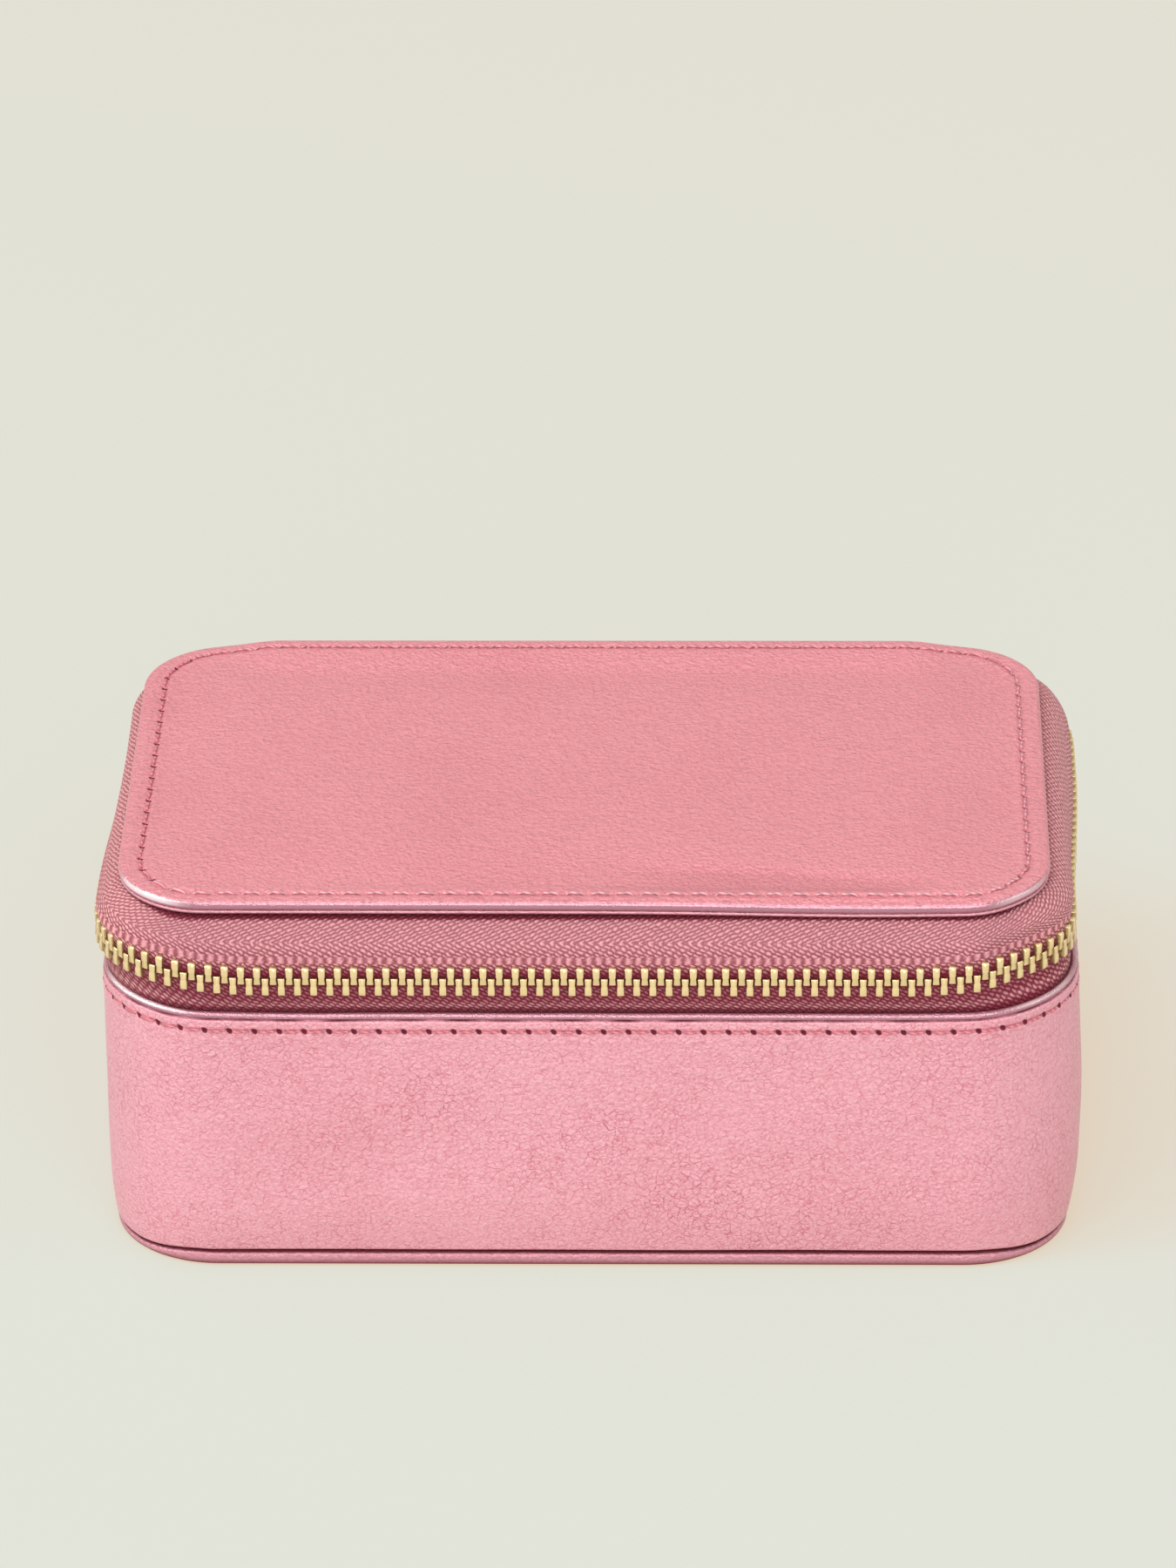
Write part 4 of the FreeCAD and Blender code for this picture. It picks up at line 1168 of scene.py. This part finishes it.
def slider_edge():
    """Slider's outline: a rounded box, 9 mm long, that grows taller to its parting end."""
    turn = np.linspace(0.0, 2.0 * np.pi, 48, endpoint=False)
    a = 4.5 * MM * squared(np.cos(turn), 0.5)
    tall = 3.75 * MM + 0.45 * MM * smooth(1.0 * MM, -4.5 * MM, a)
    return stacked(a, tall * squared(np.sin(turn), 0.5))


def pull_outlines(hang, pull):
    """Outlines of the pull and of its eye: straight shoulders that widen to a round foot, and a box below the bar.

    hang is the height of the bar's middle, and pull the length from there to the foot.
    """
    bar, neck, foot, eye, low = 0.55 * MM, 2.5 * MM, 3.5 * MM, 1.3 * MM, 3.4 * MM
    bend = np.linspace(0.0, np.pi / 2.0, 9)[1:]
    end = hang - pull + foot
    half = [(0.0, hang + bar), (2.2 * MM, hang + bar), (neck, hang + 0.2 * MM), (neck, hang - low),
            (foot, hang - 8.4 * MM), (foot, end), *stacked(foot * np.cos(bend), end - foot * np.sin(bend)).tolist()]
    hole = [(0.0, hang - bar), (eye, hang - bar), (eye, hang - low), (0.0, hang - low)]
    return mirrored(half, 96), mirrored(hole, 96)


class JEWELRY_OT_base_skin(bpy.types.Operator):
    """Leather wall and wrapped bottom of the base"""
    bl_idname = "jewelry_box.base_skin"
    bl_label = "Base skin"

    def execute(self, context):
        sizes = context.scene.box_sizes
        wall = wall_surface(sizes, context.scene.stitch_sizes)
        dress(wall, finish_of("wall_leather"), "base", ["base_wall_cover"])
        dress(bottom_surface(sizes), finish_of("plain_leather"), "base", ["bottom_cover"])
        return {"FINISHED"}


class JEWELRY_OT_lid_skin(bpy.types.Operator):
    """Padded lid and the turned ply below its edge"""
    bl_idname = "jewelry_box.lid_skin"
    bl_label = "Lid skin"

    def execute(self, context):
        sizes = context.scene.box_sizes
        pad = lid_surface(sizes, context.scene.stitch_sizes)
        dress(pad, finish_of("lid_leather"), "lid", ["lid_cover", "lid_foam"])
        dress(hem_surface(sizes), finish_of("plain_leather"), "lid", ["lid_hem"])
        return {"FINISHED"}


class JEWELRY_OT_stitches(bpy.types.Operator):
    """Thread lines round the lid and the base's hem"""
    bl_idname = "jewelry_box.stitches"
    bl_label = "Stitches"

    def execute(self, context):
        sizes, stitches = context.scene.box_sizes, context.scene.stitch_sizes
        thread = finish_of("pink_thread")
        hem = stitch_line("hem_thread", sizes, stitches, stitches.hem_count, 0.0, sizes.hem_stitch, on_wall=True)
        dress(hem, thread, "base", ["base_hem_stitches"])
        lid = stitch_line("lid_thread", sizes, stitches, stitches.lid_count, stitches.lid_inset, sizes.lid_edge,
                          on_wall=False)
        dress(lid, thread, "lid", ["lid_stitches"])
        return {"FINISHED"}


class JEWELRY_OT_tapes(bpy.types.Operator):
    """Woven tapes above and below the zip chain"""
    bl_idname = "jewelry_box.tapes"
    bl_label = "Zip tapes"

    def execute(self, context):
        sizes, zips = context.scene.box_sizes, context.scene.zip_sizes
        upper = [(1.25, 54.4), (1.25, 57.4), (2.2, 59.8), (5.6, 63.1), (7.5, 63.7), (12.0, 63.7)]
        upper_sides = [(1.25, 54.4), (0.95, 57.6), (1.3, 60.6), (2.7, 62.9), (4.6, 63.65), (12.0, 63.7)]
        lower = [(1.25, 53.6), (1.25, 50.4), (1.6, 48.8), (2.1, 47.4), (2.3, 46.0), (2.1, 43.3)]
        upper, upper_sides, lower = (rounded(np.array(line) * MM, 6, 40) for line in (upper, upper_sides, lower))
        # dim is the painted shade beside the teeth: light on the upper tape, deep on the lower one.
        tapes = (("upper", upper, upper_sides, zips.bulge, 0.26, 0.0, LID_BLEND),
                 ("lower", lower, lower, 0.0, 0.84, 20.4 * MM, BASE_BLEND))
        for name, middle, at_sides, bulge, dim, start, blend in tapes:
            tape = tape_surface("tape_" + name, sizes, zips, middle, at_sides, bulge, dim, start)
            node = "zip_tape_" + name
            dress(tape, finish_of("mauve_tape"), None, [node, node + "_ends"], blend)
        return {"FINISHED"}


class JEWELRY_OT_teeth(bpy.types.Operator):
    """Two rows of zip teeth with their stops"""
    bl_idname = "jewelry_box.teeth"
    bl_label = "Zip teeth"

    def execute(self, context):
        sizes, zips = context.scene.box_sizes, context.scene.zip_sizes
        metal = finish_of("pale_gold")
        stop_places, stop_stretch = np.array([-0.51 * MM, 339.5 * MM]), 1.6
        rows = (("lower", -1.0, 0.0, "base", BASE_BLEND), ("upper", 1.0, zips.pitch / 2.0, "lid", LID_BLEND))
        for name, side, shift, body, blend in rows:
            distance = zips.first + shift + zips.pitch * np.arange(zips.count)
            core, normal = outline_at(sizes, distance, zips.inset)
            corner = (core + normal * (sizes.corner - zips.inset))[:, 1] > sizes.half_depth
            node = "zip_teeth_" + name
            front = chain_row("teeth_" + name, sizes, zips, distance[~corner], side)
            dress(front, metal, body, [node])
            rear = chain_row("teeth_%s_corners" % name, sizes, zips, distance[corner], side)
            dress(rear, metal, None, [node + "_corners"], blend)
            stops = chain_row("stops_" + name, sizes, zips, stop_places, side, stop_stretch)
            dress(stops, metal, None, [], blend)
        return {"FINISHED"}


class JEWELRY_OT_slider(bpy.types.Operator):
    """Zip slider with its bridge and the hanging pull"""
    bl_idname = "jewelry_box.slider"
    bl_label = "Slider and pull"

    def execute(self, context):
        sizes, zips = context.scene.box_sizes, context.scene.zip_sizes
        axis, out, along, up = slider_frame(sizes, zips)
        metal = finish_of("pale_gold")
        outer, inner, post_out, post_back, pull_out = 19.25 * MM, 14.88 * MM, 15.72 * MM, 3.0 * MM, 20.55 * MM
        plate = pillow_shape(slider_edge(), zips.plate, 0.3 * MM)
        post = np.column_stack([[1.5, 0.5, -0.5, -1.5, -0.5, 0.5], [0.0, 0.32, 0.32, 0.0, -0.32, -0.32]]) * MM
        post = pillow_shape(post, 3.6 * MM, 0.02 * MM)
        body = joined("slider_plates", [(*plate, axis + out * outer, along, up, out),
                                        (*plate, axis + out * inner, along, up, out),
                                        (*post, axis + out * post_out - along * post_back, along, up, out)])
        dress(body, metal, "zip_slider", ["slider_body"])
        arch = np.array([(20.0, 0.0, -2.75), (22.5, 0.0, -2.75), (22.5, 0.0, 2.75), (20.0, 0.0, 2.75)]) * MM
        hoop = tube_shape(rounded(arch, 4, 33), np.full(33, 0.45 * MM), 12, 1.75)
        bridge = joined("slider_hoop", [(*hoop, axis, out, along, up)])
        dress(bridge, metal, "zip_slider", ["slider_bridge"])
        edge, eye = pull_outlines(zips.hang - zips.height, zips.pull)
        tab = eyed_shape(edge, eye, 1.1 * MM, 0.28 * MM)
        pull = joined("pull_tab", [(*tab, axis + out * pull_out, along, up, out)])
        dress(pull, metal, "zip_pull_tab", ["zip_pull"])
        return {"FINISHED"}


class JEWELRY_OT_strap(bpy.types.Operator):
    """Leather strap that hinges the lid at the back"""
    bl_idname = "jewelry_box.strap"
    bl_label = "Hinge strap"

    def execute(self, context):
        zips = context.scene.zip_sizes
        strap = strap_surface(zips)
        dress(strap, finish_of("plain_leather"), None, ["hinge_strap"], STRAP_BLEND)
        return {"FINISHED"}


class JEWELRY_OT_lining(bpy.types.Operator):
    """Pile lining, dividers and ring rolls of the base, and the lid's lining"""
    bl_idname = "jewelry_box.lining"
    bl_label = "Lining and rolls"

    def execute(self, context):
        sizes = context.scene.box_sizes
        pile = finish_of("rose_pile")
        top, outer, inner = 47.4 * MM, 2.4 * MM, 3.2 * MM
        rows = [(outer + sizes.lean, sizes.bottom), (outer, top - 0.4 * MM), (2.5 * MM, top - 0.1 * MM),
                (2.8 * MM, top), (3.1 * MM, top - 0.1 * MM), (inner, top - 0.4 * MM),
                (inner + sizes.lean, sizes.bottom)]
        dress(ring_surface("wall_lining", sizes, rows, 360), pile, "base", ["base_wall_lining"])
        pad = plate_surface("floor_lining", sizes, "floor_pad", 0.6 * MM)
        dress(pad, pile, "base", ["floor_pad"])
        for node, axis in (("ring_divider", 1), ("tray_divider", 0)):
            low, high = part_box(node)
            dress(slab_surface(node + "_pile", low, high, axis, 1.0 * MM), pile, "base", [node])
        for index in range(1, 7):
            node = "ring_roll_%d" % index
            low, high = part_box(node)
            roll = roll_surface("roll_pile_%d" % index, sizes, low, high, index)
            dress(roll, pile, "base", [node])
        lid = plate_surface("lid_inner", sizes, "lid_lining", 0.7 * MM)
        dress(lid, pile, "lid", ["lid_lining"])
        return {"FINISHED"}


class JEWELRY_OT_mirror(bpy.types.Operator):
    """Mirror in the lid, its leather frame, and the stiffening boards"""
    bl_idname = "jewelry_box.mirror"
    bl_label = "Mirror and boards"

    def execute(self, context):
        low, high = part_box("mirror_bezel")
        corner, wide, swell, step, rebate = 10 * MM, 9 * MM, 1.2 * MM, 0.8 * MM, 5 * MM
        path = SimpleNamespace(half_width=high[0] - corner, half_depth=high[1] - corner, corner=corner)
        turn = np.linspace(0.0, np.pi, 13)
        face, back = low[2], high[2]
        front = stacked(wide / 2.0 - wide / 2.0 * np.cos(turn), face + swell - swell * np.sin(turn) ** 0.7)
        rows = np.concatenate([[(0.0, back)], front, [(wide, face + step), (rebate, face + step), (rebate, back)]])
        rim = ring_surface("mirror_frame", path, rows, 240, 0.25)
        dress(rim, finish_of("plain_leather"), "lid", ["mirror_bezel"])
        finishes = {"lid_mirror": "mirror_silver", "lid_board": "grey_board", "base_wall_board": "grey_board",
                    "bottom_board": "grey_board"}
        for node, finish in finishes.items():
            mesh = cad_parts[node].data
            mesh.materials.clear()
            mesh.materials.append(finish_of(finish))
        return {"FINISHED"}


class JEWELRY_OT_stage(bpy.types.Operator):
    """Pale floor, soft light and the camera"""
    bl_idname = "jewelry_box.stage"
    bl_label = "Stage"

    def execute(self, context):
        scene = context.scene
        scene.view_settings.view_transform = "Standard"
        build_floor(scene.box_colours.floor)
        build_world(scene, scene.box_colours.floor)
        add_light("key", "SUN", 0.95, (1.0, 0.98, 0.96), (-0.35, -0.40, 1.0), angle=0.6)
        add_light("front_box", "AREA", 23.5, (1.0, 0.99, 0.99), (0.35, -1.95, 1.25), size=1.6)
        add_light("left_box", "AREA", 11.0, (1.0, 0.98, 0.97), (-1.5, -0.45, 0.95), size=0.6)
        add_light("right_box", "AREA", 3.0, (1.0, 0.98, 0.97), (1.6, -0.40, 0.9), size=1.0)
        build_camera(scene)
        return {"FINISHED"}


def show_pale(tree, output, plain, seen):
    """Close a tree with two shaders: seen for camera, glossy and transmission rays, and plain for the rest."""
    rays = wires(add_node(tree, "ShaderNodeLightPath"))
    pale = rays["Is Camera Ray"].math("MAXIMUM", rays["Is Glossy Ray"])
    pale = pale.math("MAXIMUM", rays["Is Transmission Ray"])
    add_node(tree, output, {"Surface": pale.to("ShaderNodeMixShader", {0: pale, 1: plain, 2: seen})})


def build_floor(pale):
    """Floor: a pale plane. What is seen of it is an even warm glow plus a cool matte part, so its shadow is warm."""
    reach, below = np.linspace(-3.0, 3.0, 5), -0.1 * MM
    floor = surface("floor", stacked(reach[:, None], reach, below))
    material = bpy.data.materials.new("pale_floor")
    tree = empty_tree(material)
    matte = Wire(add_node(tree, "ShaderNodeBsdfDiffuse", {"Color": opaque(pale)}))
    shaded = Wire(add_node(tree, "ShaderNodeBsdfDiffuse", {"Color": (0.020, 0.210, 0.300, 1.0)}))
    glow = Wire(add_node(tree, "ShaderNodeEmission", {"Color": (0.738, 0.524, 0.343, 1.0), "Strength": 1.0}))
    show_pale(tree, "ShaderNodeOutputMaterial", matte, shaded.to("ShaderNodeAddShader", {0: shaded, 1: glow}))
    floor.data.materials.append(material)


def build_world(scene, pale):
    """World: even soft light on the object, and the pale background for the rays that see it."""
    scene.world = bpy.data.worlds.new("soft_room")
    tree = empty_tree(scene.world)
    light = Wire(add_node(tree, "ShaderNodeBackground", {"Color": (1.0, 0.99, 0.985, 1.0), "Strength": 0.52}))
    seen = Wire(add_node(tree, "ShaderNodeBackground", {"Color": opaque(pale), "Strength": 1.0}))
    show_pale(tree, "ShaderNodeOutputWorld", light, seen)


def add_light(name, kind, energy, tone, place, **options):
    """A lamp at a place, turned to the middle of the box."""
    lamp = bpy.data.lights.new(name, kind)
    lamp.energy, lamp.color = energy, tone
    for option, value in options.items():
        setattr(lamp, option, value)
    light = bpy.data.objects.new(name, lamp)
    away = np.array(place) - (0.0, 0.0, 40 * MM)
    away /= np.linalg.norm(away)
    side = np.cross((0.0, 0.0, 1.0), away)
    side /= np.linalg.norm(side)
    turn = Matrix(np.column_stack([side, np.cross(away, side), away]).tolist()).to_4x4()
    light.matrix_world = Matrix.Translation(place) @ turn
    bpy.context.scene.collection.objects.link(light)


def build_camera(scene):
    """Camera at the photograph's viewing angle: its axes from yaw, pitch and roll."""
    yaw, pitch, roll = -0.0245, 0.4884, -0.0104
    ahead = np.array([np.sin(yaw) * np.cos(pitch), np.cos(yaw) * np.cos(pitch), -np.sin(pitch)])
    right = np.array([np.cos(yaw), -np.sin(yaw), 0.0])
    up = np.cross(right, ahead)
    axes = [right * np.cos(roll) + up * np.sin(roll), up * np.cos(roll) - right * np.sin(roll), -ahead]
    lens = bpy.data.cameras.new("camera")
    lens.lens, lens.sensor_width, lens.sensor_fit = 183.66, 36.0, "AUTO"
    camera = bpy.data.objects.new("camera", lens)
    place = Matrix.Translation((0.02793, -1.16978, 0.68543))
    camera.matrix_world = place @ Matrix(np.column_stack(axes).tolist()).to_4x4()
    scene.collection.objects.link(camera)
    scene.camera = camera


GROUPS = {"box_sizes": BoxSizes, "stitch_sizes": StitchSizes, "zip_sizes": ZipSizes, "box_colours": BoxColours}
OPERATORS = (JEWELRY_OT_base_skin, JEWELRY_OT_lid_skin, JEWELRY_OT_stitches, JEWELRY_OT_tapes, JEWELRY_OT_teeth,
             JEWELRY_OT_slider, JEWELRY_OT_strap, JEWELRY_OT_lining, JEWELRY_OT_mirror, JEWELRY_OT_stage)


class JEWELRY_PT_panel(bpy.types.Panel):
    """Sizes, colours and builders of the jewelry box"""
    bl_idname = "JEWELRY_PT_panel"
    bl_label = "Jewelry box"
    bl_space_type = "VIEW_3D"
    bl_region_type = "UI"
    bl_category = "Jewelry Box"

    def draw(self, context):
        for group in GROUPS:
            settings = getattr(context.scene, group)
            column = self.layout.column(align=True)
            for name in settings.__annotations__:
                column.prop(settings, name)
        for operator in OPERATORS:
            self.layout.operator(operator.bl_idname)


def register():
    """Register the classes and give each scene its settings."""
    for part in (*GROUPS.values(), *OPERATORS, JEWELRY_PT_panel):
        bpy.utils.register_class(part)
    for name, group in GROUPS.items():
        setattr(bpy.types.Scene, name, PointerProperty(type=group))


def unregister():
    """Take the settings and classes away again."""
    for name in GROUPS:
        delattr(bpy.types.Scene, name)
    for part in reversed((*GROUPS.values(), *OPERATORS, JEWELRY_PT_panel)):
        bpy.utils.unregister_class(part)


def main():
    """Build every piece in order."""
    register()
    for operator in OPERATORS:
        group, name = operator.bl_idname.split(".")
        getattr(getattr(bpy.ops, group), name)()


if __name__ == "__main__":
    main()
